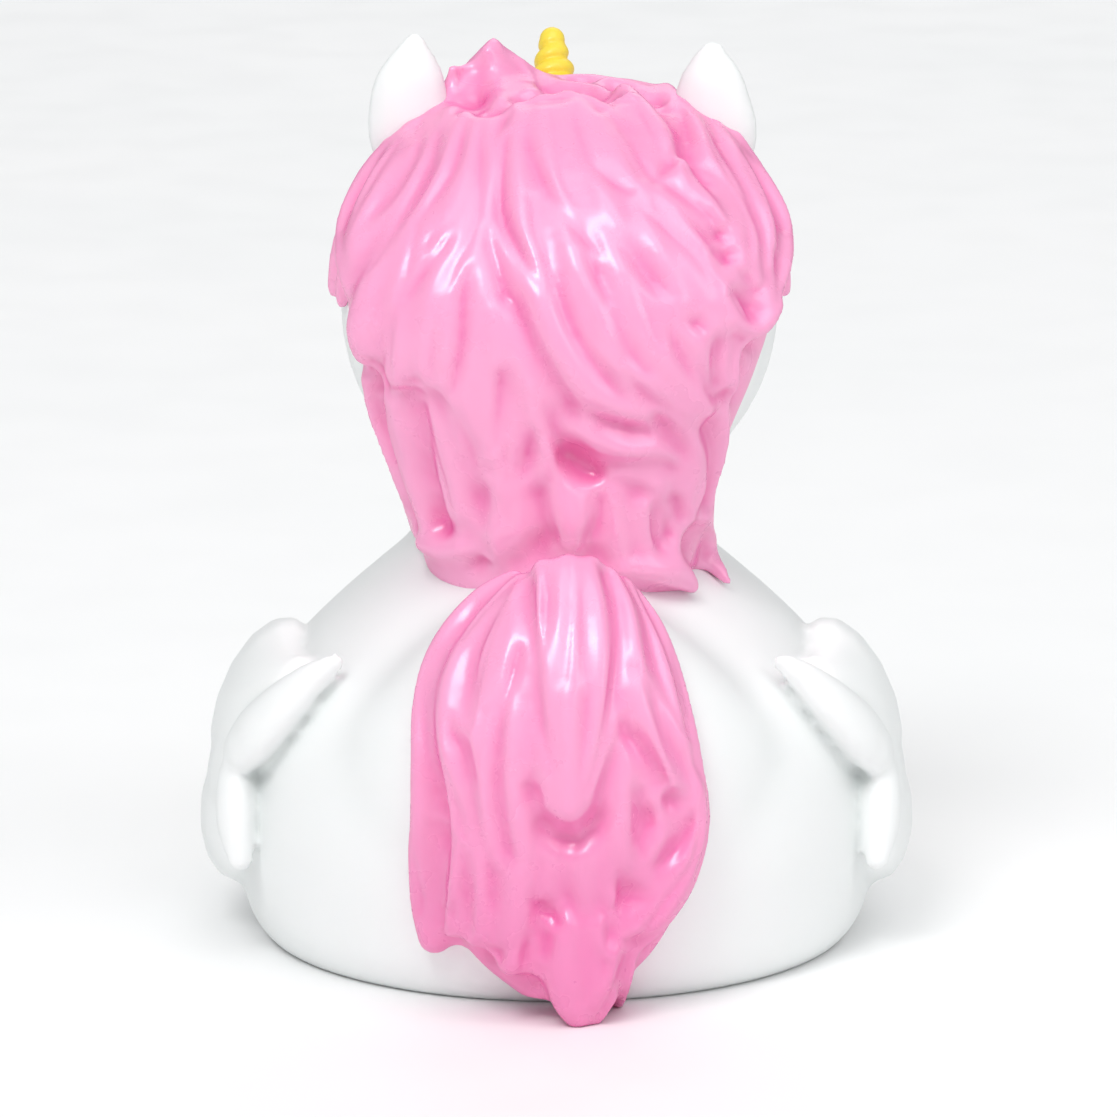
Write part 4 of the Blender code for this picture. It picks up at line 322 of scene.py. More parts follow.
# Grooves pressed into the hair where it faces the line of sight: greatest depth, then the places of the
# route, each as (right, down, half width). A groove is shallower where it is narrower.
MANE_GROOVES = (
    # Left of the crown, from the edge inwards
    (72, (395, 140, 36), (358, 192, 48), (340, 228, 30)),
    (65, (422, 113, 36), (417, 140, 60), (410, 158, 60), (386, 196, 60), (354, 232, 24)),
    (87, (437, 130, 42), (433, 145, 60), (418, 180, 72), (378, 247, 60), (362, 272, 30)),
    (81, (464, 118, 30), (460, 140, 48), (450, 170, 48), (420, 215, 48), (414, 230, 48), (406, 270, 48),
     (398, 298, 54), (387, 325, 60), (381, 388, 54)),
    (43, (443, 226, 30), (426, 243, 48), (422, 252, 24)),
    (65, (450, 237, 30), (440, 248, 48), (405, 297, 48), (390, 332, 36), (387, 350, 24)),
    (75, (480, 125, 36), (480, 180, 72), (473, 225, 84), (455, 265, 60), (450, 282, 36)),
    (78, (469, 270, 30), (463, 300, 54), (460, 350, 54), (446, 408, 48)),
    (43, (430, 330, 36), (430, 350, 60), (427, 388, 48)),
    # Round the parting
    (90, (486, 222, 30), (490, 240, 60), (502, 285, 84), (507, 296, 84), (514, 304, 72), (534, 346, 60),
     (568, 403, 54), (586, 422, 24)),
    (101, (507, 135, 30), (500, 205, 54), (518, 250, 60), (537, 278, 30)),
    (51, (510, 110, 24), (502, 120, 42), (491, 142, 24)),
    (75, (523, 134, 30), (537, 170, 60), (556, 200, 66), (578, 228, 96), (592, 244, 72), (600, 256, 36)),
    (51, (548, 110, 36), (560, 165, 60), (568, 188, 60), (576, 204, 36)),
    (43, (541, 238, 36), (549, 270, 54), (553, 290, 36)),
    (36, (533, 200, 30), (535, 225, 48), (543, 262, 30)),
    # Along the crown
    (78, (516, 99, 30), (530, 97, 48), (566, 94, 48), (575, 88, 48), (584, 87, 48), (603, 104, 60),
     (608, 98, 48), (615, 90, 48), (625, 87, 42), (640, 81, 36), (655, 86, 36)),
    (65, (459, 90, 30), (462, 75, 48), (470, 62, 30)),
    (65, (479, 95, 30), (478, 105, 48), (476, 114, 24)),
    (72, (520, 64, 30), (532, 78, 48), (546, 88, 42), (562, 92, 24)),
    # Right of the crown
    (65, (572, 98, 36), (579, 130, 60), (592, 160, 60), (616, 182, 48), (632, 190, 36)),
    (65, (602, 108, 30), (638, 166, 48), (646, 177, 30)),
    (81, (606, 106, 36), (630, 135, 48), (646, 164, 54), (658, 178, 48)),
    (58, (635, 95, 24), (641, 110, 42), (662, 148, 24)),
    (36, (655, 90, 36), (660, 102, 42), (666, 120, 24)),
    (96, (678, 96, 36), (686, 127, 90), (690, 160, 60), (697, 172, 60), (706, 198, 48)),
    (78, (658, 178, 36), (670, 160, 42), (678, 156, 36), (686, 159, 24)),
    (58, (692, 170, 30), (694, 184, 54), (698, 194, 42)),
    (81, (662, 180, 36), (688, 195, 54), (712, 216, 54), (720, 226, 48)),
    (90, (712, 122, 30), (718, 140, 48), (732, 170, 54), (752, 200, 54), (767, 230, 60), (771, 270, 60),
     (768, 284, 54), (760, 290, 48), (750, 290, 30)),
    (78, (700, 165, 30), (715, 170, 42), (728, 180, 48), (746, 205, 60), (752, 220, 60), (754, 240, 60),
     (753, 258, 42)),
    (58, (738, 262, 30), (748, 274, 48), (758, 286, 42)),
    (65, (745, 155, 30), (757, 172, 48), (778, 207, 54), (784, 225, 48)),
    (75, (773, 235, 30), (783, 265, 54), (782, 300, 30)),
    (113, (716, 226, 60), (722, 232, 96), (727, 238, 72)),
    (113, (724, 250, 72), (730, 253, 108), (735, 254, 72)),
    (58, (640, 200, 30), (650, 212, 42), (695, 252, 48), (718, 285, 36)),
    (51, (655, 205, 30), (712, 262, 42), (722, 275, 30)),
    (51, (688, 212, 30), (700, 225, 42), (722, 247, 36)),
    # Down the sweeping locks
    (72, (584, 246, 30), (598, 274, 54), (610, 302, 30)),
    (75, (610, 225, 60), (625, 245, 120), (655, 280, 132), (670, 295, 72)),
    (65, (632, 274, 30), (655, 330, 48), (662, 345, 36)),
    (65, (554, 270, 30), (566, 310, 60), (583, 345, 60), (607, 378, 60), (628, 397, 36)),
    (43, (576, 280, 36), (590, 320, 60), (600, 340, 60), (618, 362, 36)),
    (58, (604, 300, 42), (620, 335, 84), (632, 355, 108), (644, 370, 72)),
    (65, (672, 330, 30), (677, 345, 48), (690, 370, 54), (700, 385, 36)),
    (78, (683, 312, 24), (698, 324, 60), (702, 328, 42)),
    (65, (700, 365, 24), (706, 378, 42), (712, 390, 42)),
    (96, (714, 393, 36), (722, 398, 60), (732, 396, 60), (740, 388, 36)),
    (75, (720, 340, 42), (719, 365, 60), (718, 385, 60)),
    (75, (738, 344, 42), (737, 365, 60), (737, 380, 48)),
    (78, (738, 338, 48), (748, 345, 60), (758, 350, 48)),
    (96, (738, 294, 60), (756, 316, 96), (764, 324, 60)),
    # Lower right
    (96, (594, 417, 30), (605, 424, 48), (630, 431, 54), (648, 431, 36)),
    (101, (543, 404, 36), (550, 422, 84), (569, 454, 120), (594, 472, 96), (604, 469, 72), (615, 467, 60),
     (630, 467, 60), (660, 463, 60), (670, 466, 60), (677, 468, 42)),
    (87, (627, 375, 30), (642, 394, 66), (662, 408, 60), (695, 424, 30)),
    (84, (704, 428, 30), (711, 440, 42), (714, 458, 48), (710, 486, 60), (699, 507, 36)),
    (84, (655, 415, 48), (662, 425, 96), (680, 447, 96), (686, 458, 72), (693, 465, 36)),
    (75, (606, 480, 48), (635, 490, 96), (650, 497, 72), (658, 504, 36)),
    (119, (676, 490, 60), (680, 502, 120), (682, 516, 96)),
    (87, (656, 502, 30), (659, 532, 48), (662, 546, 36)),
    (96, (670, 522, 72), (672, 534, 96), (673, 540, 60)),
    (36, (566, 484, 30), (572, 500, 42), (578, 516, 30)),
    (72, (540, 496, 30), (546, 528, 60), (552, 538, 48)),
    (72, (600, 496, 30), (600, 514, 48), (597, 528, 54), (591, 538, 42)),
    # Lower left, under the step
    (84, (350, 362, 36), (358, 369, 54), (368, 369, 54), (376, 362, 36)),
    (101, (381, 386, 42), (388, 393, 60), (400, 394, 54), (420, 392, 72), (441, 408, 96), (463, 445, 120),
     (470, 465, 120), (481, 495, 72), (483, 525, 54), (480, 535, 36)),
    (78, (408, 386, 36), (414, 384, 54), (420, 386, 36)),
    (84, (421, 405, 36), (422, 420, 48), (430, 460, 60), (439, 490, 60), (443, 520, 60), (447, 529, 54),
     (455, 531, 30)),
    (58, (376, 400, 30), (384, 435, 48), (394, 460, 36)),
    (96, (481, 540, 42), (482, 550, 72), (484, 560, 84)),
    (78, (503, 375, 36), (500, 385, 60), (494, 450, 30)),
    (75, (534, 433, 42), (528, 458, 78), (519, 476, 42)),
    (36, (503, 450, 30), (506, 465, 36), (508, 480, 24)),
    (51, (482, 466, 60), (488, 472, 72), (492, 476, 48)),
)

TAIL_GROOVES = (
    # Left locks, from the edge inwards
    (84, (432, 650, 30), (421, 685, 60), (421, 720, 60), (429, 760, 66), (450, 806, 108), (460, 833, 60)),
    (65, (444, 826, 36), (448, 838, 60), (448, 848, 36)),
    (81, (448, 722, 36), (454, 738, 72), (462, 755, 72), (470, 785, 54), (471, 800, 48), (482, 850, 48),
     (491, 880, 60), (492, 905, 36)),
    (65, (518, 573, 30), (505, 582, 42), (480, 605, 54), (468, 620, 54), (460, 635, 36)),
    (84, (506, 600, 30), (485, 642, 66), (472, 685, 108), (468, 725, 48)),
    (78, (520, 645, 30), (511, 675, 60), (502, 710, 54), (496, 755, 54), (496, 795, 54), (503, 835, 48),
     (508, 852, 54), (514, 862, 30)),
    (43, (482, 710, 36), (476, 750, 48), (474, 770, 24)),
    # Down the middle lobe and round its end
    (96, (530, 566, 42), (526, 600, 90), (535, 660, 54), (536, 685, 54), (541, 730, 60), (546, 758, 30)),
    (78, (541, 558, 36), (546, 600, 60), (543, 640, 42), (543, 655, 24)),
    (65, (566, 560, 36), (569, 610, 66), (565, 680, 30)),
    (43, (582, 590, 30), (584, 620, 48), (584, 670, 24)),
    (87, (603, 560, 42), (609, 570, 60), (618, 600, 60), (621, 640, 60), (616, 690, 66), (597, 770, 42),
     (590, 786, 24)),
    (43, (587, 700, 36), (586, 730, 48), (580, 780, 24)),
    (107, (620, 736, 36), (617, 752, 54), (608, 784, 66), (600, 818, 72), (582, 840, 96), (558, 839, 84),
     (539, 820, 60), (530, 792, 72), (529, 780, 36)),
    # Right locks
    (84, (624, 562, 30), (634, 576, 48), (649, 610, 60), (662, 670, 54), (686, 730, 30)),
    (43, (624, 640, 30), (634, 670, 42), (638, 682, 24)),
    (81, (642, 670, 36), (668, 732, 66), (688, 766, 96), (693, 782, 84), (694, 800, 54)),
    (51, (674, 626, 30), (682, 655, 42), (692, 715, 30)),
    (101, (624, 718, 48), (630, 734, 96), (642, 750, 102), (664, 784, 90), (669, 800, 60)),
    (125, (642, 795, 48), (645, 810, 96), (649, 822, 120), (645, 836, 84)),
    (78, (637, 794, 30), (642, 835, 54), (643, 850, 30)),
    (84, (693, 812, 36), (690, 824, 54), (676, 850, 60), (656, 868, 36)),
    (96, (704, 800, 30), (701, 845, 48), (696, 864, 48), (686, 878, 54), (661, 910, 60), (645, 938, 66),
     (634, 945, 60), (624, 942, 36)),
    (101, (619, 868, 36), (623, 884, 84), (626, 898, 84), (620, 908, 48)),
    (119, (608, 914, 48), (612, 928, 96), (612, 940, 84), (608, 952, 36)),
    # Bottom ends
    (96, (536, 904, 48), (546, 912, 108), (554, 922, 96), (562, 928, 48)),
    (75, (540, 920, 36), (543, 936, 48), (543, 950, 36)),
    (78, (412, 860, 30), (419, 905, 54), (416, 918, 36)),
    (78, (454, 906, 36), (449, 916, 60), (442, 924, 42)),
    (58, (460, 850, 36), (464, 880, 54), (468, 936, 48)),
    (96, (478, 950, 48), (490, 958, 96), (508, 949, 36)),
    (65, (530, 942, 30), (527, 956, 42), (526, 968, 30)),
    (84, (631, 950, 36), (629, 966, 54), (617, 1000, 60), (599, 1020, 36)),
    (65, (602, 956, 36), (604, 968, 48), (602, 984, 24)),
    (36, (568, 894, 30), (574, 910, 42), (578, 922, 24)),
)

GROOVE_SHARE = 0.95  # how deep the grooves are here, as a share of their depths in the table
GROOVE_STEP = 0.3  # along a groove, in millimetres
GROOVE_CORE_SHARE = 0.4  # how much of its depth lies in its core, and the rest in its soft shoulders
GROOVE_SHOULDER = 1.15  # half width of its shoulders, in millimetres
GROOVE_REACH = 2.2  # how many half widths away it is still felt
GROOVE_FACING = 2.5  # how fast it fades in as the skin turns to the line of sight

# Blending: forms are swollen until they meet, shrunk back and softened. Grid sizes, swell and passes of
# softening for the hair, then the same for the body with its rump.
MANE_SIZE = 0.34 * MM
TAIL_SIZE = 0.27 * MM
HAIR_SWELL = 1.5 * MM
HAIR_SMOOTH_STEPS = 4
TORSO_SIZE = 0.7 * MM
TORSO_SWELL = 6.0 * MM
TORSO_SMOOTH_STEPS = 12
SMOOTH_SHARE = 0.5  # how far one pass of softening goes

# Light: name, place, width and power of each lamp, in metres and watts, then the soft light from above
# and the even light of the room.
LAMPS = (
    ("key", (-0.34, -0.75, 0.95), 0.46, 5.2),
    ("fill", (0.95, -0.60, 0.65), 0.60, 1.6),
    ("front", (0.10, 1.10, 0.90), 0.90, 2.0),
)
ABOVE_FROM = (0.15, -0.45, 1.0)
ABOVE_SPREAD = math.radians(50.0)
ABOVE_STRENGTH = 0.95
AIR_COLOUR = (0.97, 0.985, 1.0)
AIR_STRENGTH = 0.46

# Floor: size, how far it lies under the duck, its two colours, the scales of its stains and of its gloss,
# and its range of roughness.
FLOOR_RADIUS = 6.0
FLOOR_SIDES = 96
FLOOR_DROP = 0.05 * MM
FLOOR_COLOUR = (0.97, 0.97, 0.97)
FLOOR_SHADE = (0.95, 0.955, 0.955)
FLOOR_STAINS = (9.0, 3.0)
FLOOR_WEAR = (60.0, 2.0)
FLOOR_ROUGHNESS = (0.55, 0.7)

# Finishes of the slots: colour on ridges (the paint's own colour), deep colour of the painted shade in
# hollows, roughness, how much light enters, how far each of its colours goes, sheen, and how much painted
# shade there is at the floor.
FINISHES = {
    "white_vinyl": ((0.925, 0.94, 0.935), (0.76, 0.79, 0.78), 0.42, 0.15, (1.0, 0.95, 0.9), 0.5, 0.0),
    "pink_paint": ((0.97, 0.38, 0.63), (0.80, 0.08, 0.35), 0.28, 0.05, (1.0, 0.35, 0.5), 0.85, 0.45),
    "yellow_paint": ((0.95, 0.76, 0.07), (0.90, 0.55, 0.0), 0.34, 0.10, (1.0, 0.6, 0.2), 0.5, 0.0),
    "orange_paint": ((0.93, 0.33, 0.04), (0.80, 0.22, 0.02), 0.34, 0.10, (1.0, 0.4, 0.1), 0.5, 0.0),
    "black_paint": ((0.02, 0.02, 0.022), (0.015, 0.015, 0.015), 0.14, 0.0, (1.0, 1.0, 1.0), 0.5, 0.0),
}

# Painted shade in hollows: passes of smoothing that find them, and the depths over which the colour
# darkens to the deep, painted shade colour, in millimetres. Ridges that stand above the smoothed skin
# keep the full light colour, a painted highlight. The rim, where the skin turns away from the eye, takes
# some painted shade too.
HOLLOW_PASSES = (("hollow_fine", 12), ("hollow_broad", 120))
FINE_RANGE = (0.0, 0.34)
BROAD_RANGE = (-0.3, 0.8)
RIM_SHADE_RANGE = (0.4, 1.0)
RIM_SHADE_SHARE = 0.6

# Painted shade at the foot of each piece: darker towards the bottom, as if lit from above.
LOW_SHADE_RANGE = (0.004, 0.034)  # heights between which a colour that deepens to the floor changes, in metres

# Noise: the middle range that is used of it, then scale and detail of each kind. Clouds deepen the
# colour by a share, wear changes the roughness, and waves and grain are bumps of a strength and height.
NOISE_RANGE = (0.3, 0.7)
CLOUDS = (70.0, 3.0)
CLOUD_SHARE = 0.06
WEAR = (240.0, 4.0)
WEAR_DOWN = 0.03
WEAR_UP = 0.05
WAVES = (420.0, 2.0)
WAVE_BUMP = (0.25, 0.00006)
GRAIN = (3200.0, 3.0)
GRAIN_BUMP = (0.18, 0.00002)
SCATTER_SCALE = 1.6 * MM

# Camera: width of its film, and where its view begins.
SENSOR = 36.0
CLIP_START = 10.0 * MM


def back_line(right, down):
    """The line of sight through a place on the sheet: where it starts, and its direction."""
    aim = SHEET_MIDDLE + mm(right - SHEET_HALF, 0.0, 0.0) + (SHEET_HALF - down) * MM * SIGHT_UP
    return EYE, (aim - EYE).normalized()


def head_line(turn, rise):
    """A line from outside towards the head's middle, given in degrees from the face and above it."""
    turn, rise = math.radians(turn), math.radians(rise)
    level = Vector((math.sin(turn), math.cos(turn), 0.0))
    out = math.cos(rise) * level + Vector((0.0, 0.0, math.sin(rise)))
    return HEAD_MIDDLE + 2.0 * HEAD_HALF.length * out, -out


def side_line(side, forward, height):
    """A level line from outside one side (-1 left, 1 right) of the body."""
    return mm(side * SIDE_DISTANCE, forward, height), Vector((-side, 0.0, 0.0))


def settle(line, lift, form):
    """How far along a line it first comes within lift of a form, or else passes nearest to it."""
    start, ahead = line
    furthest = (SHEET_MIDDLE - start).length + SHEET_HALF * MM
    reach = 0.0
    nearest = furthest
    best = 0.0
    while reach < furthest:
        gap = form.find_nearest(start + reach * ahead)[3]
        if gap < nearest:
            nearest = gap
            best = reach
        if gap <= lift + SETTLE_NEAR:
            break
        reach += max(gap - lift, SETTLE_NEAR)
    return best


def outward(point, form):
    """The way out of a form at a point on or above it."""
    foot, normal, _, gap = form.find_nearest(point)
    return (point - foot).normalized() if gap > ON_SKIN else normal


def evened(values, passes):
    """The values with each one drawn towards its neighbours, and the ends kept."""
    for _ in range(passes):
        inner = [0.25 * (a + 2 * b + c) for a, b, c in zip(values, values[1:], values[2:])]
        values = [values[0]] + inner + [values[-1]]
    return values


def catmull(knots, t):
    """A place between the middle two of four knots, each a tuple of plain numbers."""
    place = []
    for a, b, c, d in zip(*knots):
        bend = (2 * a - 5 * b + 4 * c - d) * t**2 + (3 * b - a - 3 * c + d) * t**3
        place.append(b + 0.5 * ((c - a) * t + bend))
    return tuple(place)


def smooth_curve(knots, count_between):
    """Points on a smooth curve through knots. count_between tells how many steps one stretch has."""
    ends = (knots[0], *knots, knots[-1])
    curve = []
    for stretch in zip(ends, ends[1:], ends[2:], ends[3:]):
        count = count_between(stretch[1], stretch[2])
        curve += [catmull(stretch, part / count) for part in range(count)]
    curve.append(knots[-1])
    return curve


def drawn(rows, parts):
    """The rows of a table of whole numbers, in millimetres."""
    for first, *places in rows:
        yield first / parts, [(a / TENTHS, b / TENTHS, half / parts) for a, b, half in places]


def steps_of(length):
    """Counts steps of about this length along a drawn route."""
    return lambda start, end: max(2, round(math.dist(start[:2], end[:2]) / length))


def skin_rings(bm, rings):
    """Faces from ring to ring, and a fan over each end."""
    made = [[bm.verts.new(point) for point in ring] for ring in rings]
    count = len(made[0])
    for lower, upper in zip(made, made[1:]):
        for i in range(count):
            j = (i + 1) % count
            bm.faces.new((lower[i], lower[j], upper[j], upper[i]))
    bm.faces.new(reversed(made[0]))
    bm.faces.new(made[-1])


def round_angles(count):
    return [2 * math.pi * i / count for i in range(count)]


def loft(bm, rings, side_shift=0.0):
    """A closed form through level rings given as (height, half width, front, back) in millimetres."""
    outline = []
    for height, half, front, back in smooth_curve(rings, lambda start, end: LOFT_BETWEEN):
        middle = 0.5 * (front - back)
        reach = 0.5 * (front + back)
        ring = []
        for angle in round_angles(LOFT_SIDES):
            right = side_shift + half * math.cos(angle)
            ring.append(mm(right, middle + reach * math.sin(angle), height))
        outline.append(ring)
    skin_rings(bm, outline)


def ball(bm, half, turn, middle):
    """An ellipsoid turned about its own middle and then moved."""
    made = bmesh.ops.create_uvsphere(bm, u_segments=BALL_SIDES, v_segments=BALL_SIDES // 2, radius=1.0)
    for vert in made["verts"]:
        local = Vector([size * place for size, place in zip(half, vert.co)])
        vert.co = middle + turn @ local


def tilted(angle):
    """A turn that lifts the front."""
    return Quaternion((1.0, 0.0, 0.0), angle)


def bar(bm, path):
    """A tapered oval bar with round ends, through (middle, outward, half width, half height)."""
    points = [step[0] for step in path]
    outs = evened([step[1] for step in path], OUT_EVENING)
    frames = []
    for i, (point, _, wide, high) in enumerate(path):
        along = (points[min(i + 1, len(points) - 1)] - points[max(i - 1, 0)]).normalized()
        across = along.cross(outs[i]).normalized()
        frames.append((point, along, across, across.cross(along), wide, high))
    rings = [cap(frames[0], -1.0, angle) for angle in CAP_ANGLES]
    rings += [oval(middle, across, out, wide, high) for middle, _, across, out, wide, high in frames]
    rings += [cap(frames[-1], 1.0, angle) for angle in reversed(CAP_ANGLES)]
    skin_rings(bm, rings)


def oval(middle, across, out, wide, high, sides=LOCK_SIDES):
    ways = [(wide * math.cos(angle), high * math.sin(angle)) for angle in round_angles(sides)]
    return [middle + right * across + up * out for right, up in ways]


def cap(frame, way, angle):
    """A ring of the round end of a bar."""
    middle, along, across, out, wide, high = frame
    reach = way * min(wide, high) * math.cos(angle)
    share = math.sin(angle)
    return oval(middle + reach * along, across, out, wide * share, high * share)


def laid_bar(bm, lift, knots, line_of, form, height_of, step=LOCK_STEP):
    """A bar laid on a form along a drawn route. height_of gives its half height from its half width."""
    route = smooth_curve(knots, steps_of(step))
    lines = [line_of(across, down) for across, down, _ in route]
    reaches = evened([settle(line, lift * MM, form) for line in lines], LAY_EVENING)
    path = []
    for (start, ahead), reach, (_, _, half) in zip(lines, reaches, route):
        point = start + reach * ahead
        path.append((point, outward(point, form), half * MM, height_of(half * MM)))
    bar(bm, path)


def lock_height(half):
    return LOCK_LEAST_HEIGHT + LOCK_HEIGHT_SHARE * half


def tree(*makers):
    """A search tree of the surfaces of some forms."""
    bm = bmesh.new()
    for maker in makers:
        maker(bm)
    bmesh.ops.triangulate(bm, faces=bm.faces)
    made = BVHTree.FromBMesh(bm)
    bm.free()
    return made


def body(bm):
    loft(bm, BODY_RINGS, BODY_SIDE_SHIFT)
    loft(bm, RUMP_RINGS)


def head(bm):
    ball(bm, HEAD_HALF, tilted(0.0), HEAD_MIDDLE)


def scalp(bm):
    loft(bm, SCALP_RINGS, SCALP_SIDE_SHIFT)


def dock(bm):
    loft(bm, DOCK_RINGS, DOCK_SIDE_SHIFT)


def wings(bm):
    skin = tree(body)
    for side in (-1, 1):
        for thick, *knots in WING_PADS:
            widest = max(half for _, _, half in knots) * MM
            laid_bar(
                bm, 0.0, knots, lambda forward, height: side_line(side, forward, height), skin,
                lambda half: thick * MM * math.sqrt(half / widest),
            )
        for knots in FEATHER_TIPS:
            laid_bar(
                bm, FEATHER_LIFT, knots,
                lambda right, down: back_line(SHEET_HALF + side * (SHEET_HALF - right), down),
                skin, lambda half: FEATHER_THICK + FEATHER_THICK_SHARE * half,
            )


def ears(bm):
    back = Vector((0.0, -1.0, 0.0))
    for ear in EARS:
        path = []
        for right, down, half in smooth_curve(ear, steps_of(LOCK_STEP)):
            start, ahead = back_line(right, down)
            point = start + ahead * ((EAR_PLANE - start.y) / ahead.y)
            path.append((point, back, half * MM, half * MM * EAR_THICK_SHARE))
        bar(bm, path)


def horn_radius(share, drop, turn):
    """Radius at a share of the way up, which is drop below the tip, a share of a turn round."""
    cone = HORN_ROOT_RADIUS + (HORN_TIP_RADIUS - HORN_ROOT_RADIUS) * share
    place_in_roll = (drop / HORN_PITCH - turn + HORN_START) % 1.0
    fade = min(1.0, drop / HORN_TIP_RADIUS)
    return cone - fade * HORN_GROOVE * (1.0 - math.sqrt(math.sin(math.pi * place_in_roll)))


def horn(bm):
    """A cone whose rings swell and shrink with a roll that climbs round it, and a domed tip."""
    axis = HORN_TIP - HORN_ROOT
    along = axis.normalized()
    across = along.cross(Vector((0.0, 1.0, 0.0))).normalized()
    out = across.cross(along)
    steps = round(axis.length * HORN_STEPS_A_ROLL / HORN_PITCH)
    rings = []
    for step in range(steps + 1):
        share = step / steps
        ring = []
        for angle in round_angles(HORN_SIDES):
            radius = horn_radius(share, (1.0 - share) * axis.length, angle / (2 * math.pi))
            way = math.cos(angle) * across + math.sin(angle) * out
            ring.append(HORN_ROOT + share * axis + radius * way)
        rings.append(ring)
    for angle in reversed(CAP_ANGLES):
        radius = HORN_TIP_RADIUS * math.sin(angle)
        middle = HORN_TIP + HORN_TIP_RADIUS * math.cos(angle) * along
        rings.append(oval(middle, across, out, radius, radius, HORN_SIDES))
    skin_rings(bm, rings)


def bill(bm):
    half = Vector((BILL_HALF_WIDTH, BILL_REACH, BILL_LIP))
    rise = Vector((0.0, 0.0, BILL_UPPER_RISE * BILL_LIP))
    ball(bm, half, tilted(BILL_TILT), BILL_MIDDLE + rise)
    lower = Vector([share * size for share, size in zip(BILL_LOWER_SHARES, half)])
    drop = Vector((0.0, 0.0, BILL_LOWER_DROP * BILL_LIP))
    ball(bm, lower, tilted(BILL_LOWER_TILT), BILL_MIDDLE - drop)


def eyes(bm):
    skin = tree(head)
    for side in (-1, 1):
        line = head_line(side * EYE_TURN, EYE_RISE)
        place = line[0] + settle(line, 0.0, skin) * line[1]
        out = outward(place, skin)
        turn = Vector((0.0, 1.0, 0.0)).rotation_difference(out)
        ball(bm, EYE_HALF, turn, place - (EYE_HALF.y - EYE_STAND) * out)


def mane(bm):
    form = tree(scalp, body)
    scalp(bm)
    for lift, knots in drawn(MANE_LOCKS, TENTHS):
        laid_bar(bm, lift, knots, back_line, form, lock_height)
    skin = tree(head, scalp)
    for lift, *knots in FACE_LOCKS:
        for side in (-1, 1):
            route = [(side * turn, rise, half) for turn, rise, half in knots]
            laid_bar(bm, lift, route, head_line, skin, lock_height, FACE_STEP)


def tail(bm):
    form = tree(body, dock)
    dock(bm)
    for lift, knots in drawn(TAIL_LOCKS, TENTHS):
        laid_bar(bm, lift, knots, back_line, form, lock_height)


def sheet_places(points):
    """Where points are seen on the sheet, in millimetres, as rows of right and down."""
    ahead = np.array((0.0, math.cos(SIGHT_TILT), -math.sin(SIGHT_TILT)))
    up = np.array((0.0, math.sin(SIGHT_TILT), math.cos(SIGHT_TILT)))
    offsets = points - np.array(SHEET_MIDDLE) + SIGHT_DISTANCE * ahead
    scale = SIGHT_DISTANCE / MM / (offsets @ ahead)
    return np.stack((SHEET_HALF + offsets[:, 0] * scale, SHEET_HALF - (offsets @ up) * scale), axis=1)


def groove_depths(places, grooves):
    """How deep each place on the sheet lies in the grooves, in millimetres."""
    depths = np.zeros(len(places))
    for depth, knots in drawn(grooves, HUNDREDTHS):
        route = np.array(smooth_curve(knots, steps_of(GROOVE_STEP)))
        widest = route[:, 2].max()
        margin = GROOVE_REACH * max(GROOVE_SHOULDER, widest)
        low = route[:, :2].min(axis=0) - margin
        high = route[:, :2].max(axis=0) + margin
        near = np.flatnonzero(((places > low) & (places < high)).all(axis=1))
        gaps = np.linalg.norm(places[near, None, :] - route[None, :, :2], axis=2)
        closest = gaps.argmin(axis=1)
        half = route[closest, 2]
        gap = gaps[np.arange(len(near)), closest]
        core = GROOVE_CORE_SHARE * np.exp(-((gap / half) ** 2))
        shoulder = (1.0 - GROOVE_CORE_SHARE) * np.exp(-((gap / np.maximum(half, GROOVE_SHOULDER)) ** 2))
        depths[near] = np.maximum(depths[near], depth * half / widest * (core + shoulder))
    return depths


def vectors_of(items, name):
    """One vector of each item, as rows."""
    flat = np.empty(3 * len(items))
    items.foreach_get(name, flat)
    return flat.reshape(-1, 3)


def carve(mesh, grooves):
    """Presses grooves into the side of a skin that faces the line of sight."""
    points = vectors_of(mesh.vertices, "co")
    normals = vectors_of(mesh.vertex_normals, "vector")
    sights = points - np.array(EYE)
    sights /= np.linalg.norm(sights, axis=1)[:, None]
    facing = np.clip(-GROOVE_FACING * (normals * sights).sum(axis=1), 0.0, 1.0)
    depths = GROOVE_SHARE * facing * groove_depths(sheet_places(points), grooves) * MM
    points -= depths[:, None] * normals
    mesh.vertices.foreach_set("co", points.ravel())
    mesh.update()


def placed(name, data):
    """A new object in the scene."""
    made = bpy.data.objects.new(name, data)
    bpy.context.scene.collection.objects.link(made)
    return made


def fuse(piece, size):
    """Makes whatever a piece holds into one closed skin on a grid of this size."""
    made = piece.modifiers.new("fuse", "REMESH")
    made.mode = "VOXEL"
    made.voxel_size = size


def piece_of(name, *makers):
    """An object that holds some forms."""
    bm = bmesh.new()
    for maker in makers:
        maker(bm)
    bmesh.ops.triangulate(bm, faces=[face for face in bm.faces if len(face.verts) > 4])
    bmesh.ops.recalc_face_normals(bm, faces=bm.faces)
    mesh = bpy.data.meshes.new(name)
    bm.to_mesh(mesh)
    bm.free()
    return placed(name, mesh)


def fused(name, makers, size, passes, swell=0.0):
    """The forms made into one closed skin. A swell also fills the creases between them."""
    piece = piece_of(name, *makers)
    for push in (swell, -swell) if swell else ():
        fuse(piece, size)
        moved = piece.modifiers.new("swell", "DISPLACE")
        moved.strength = push
        moved.mid_level = 0.0
    fuse(piece, size)
    softened = piece.modifiers.new("soften", "SMOOTH")
    softened.factor = SMOOTH_SHARE
    softened.iterations = passes
    bpy.context.view_layer.update()
    graph = bpy.context.evaluated_depsgraph_get()
    piece.data = bpy.data.meshes.new_from_object(piece.evaluated_get(graph))
    piece.modifiers.clear()
    piece.data.name = name
    return piece


def blended(maker, size, swell, passes):
    """The forms of a maker with the creases between them filled, as one mesh."""
    mass = fused("mass", (maker,), size, passes, swell)
    mesh = mass.data
    bpy.data.objects.remove(mass, do_unlink=True)
    return mesh


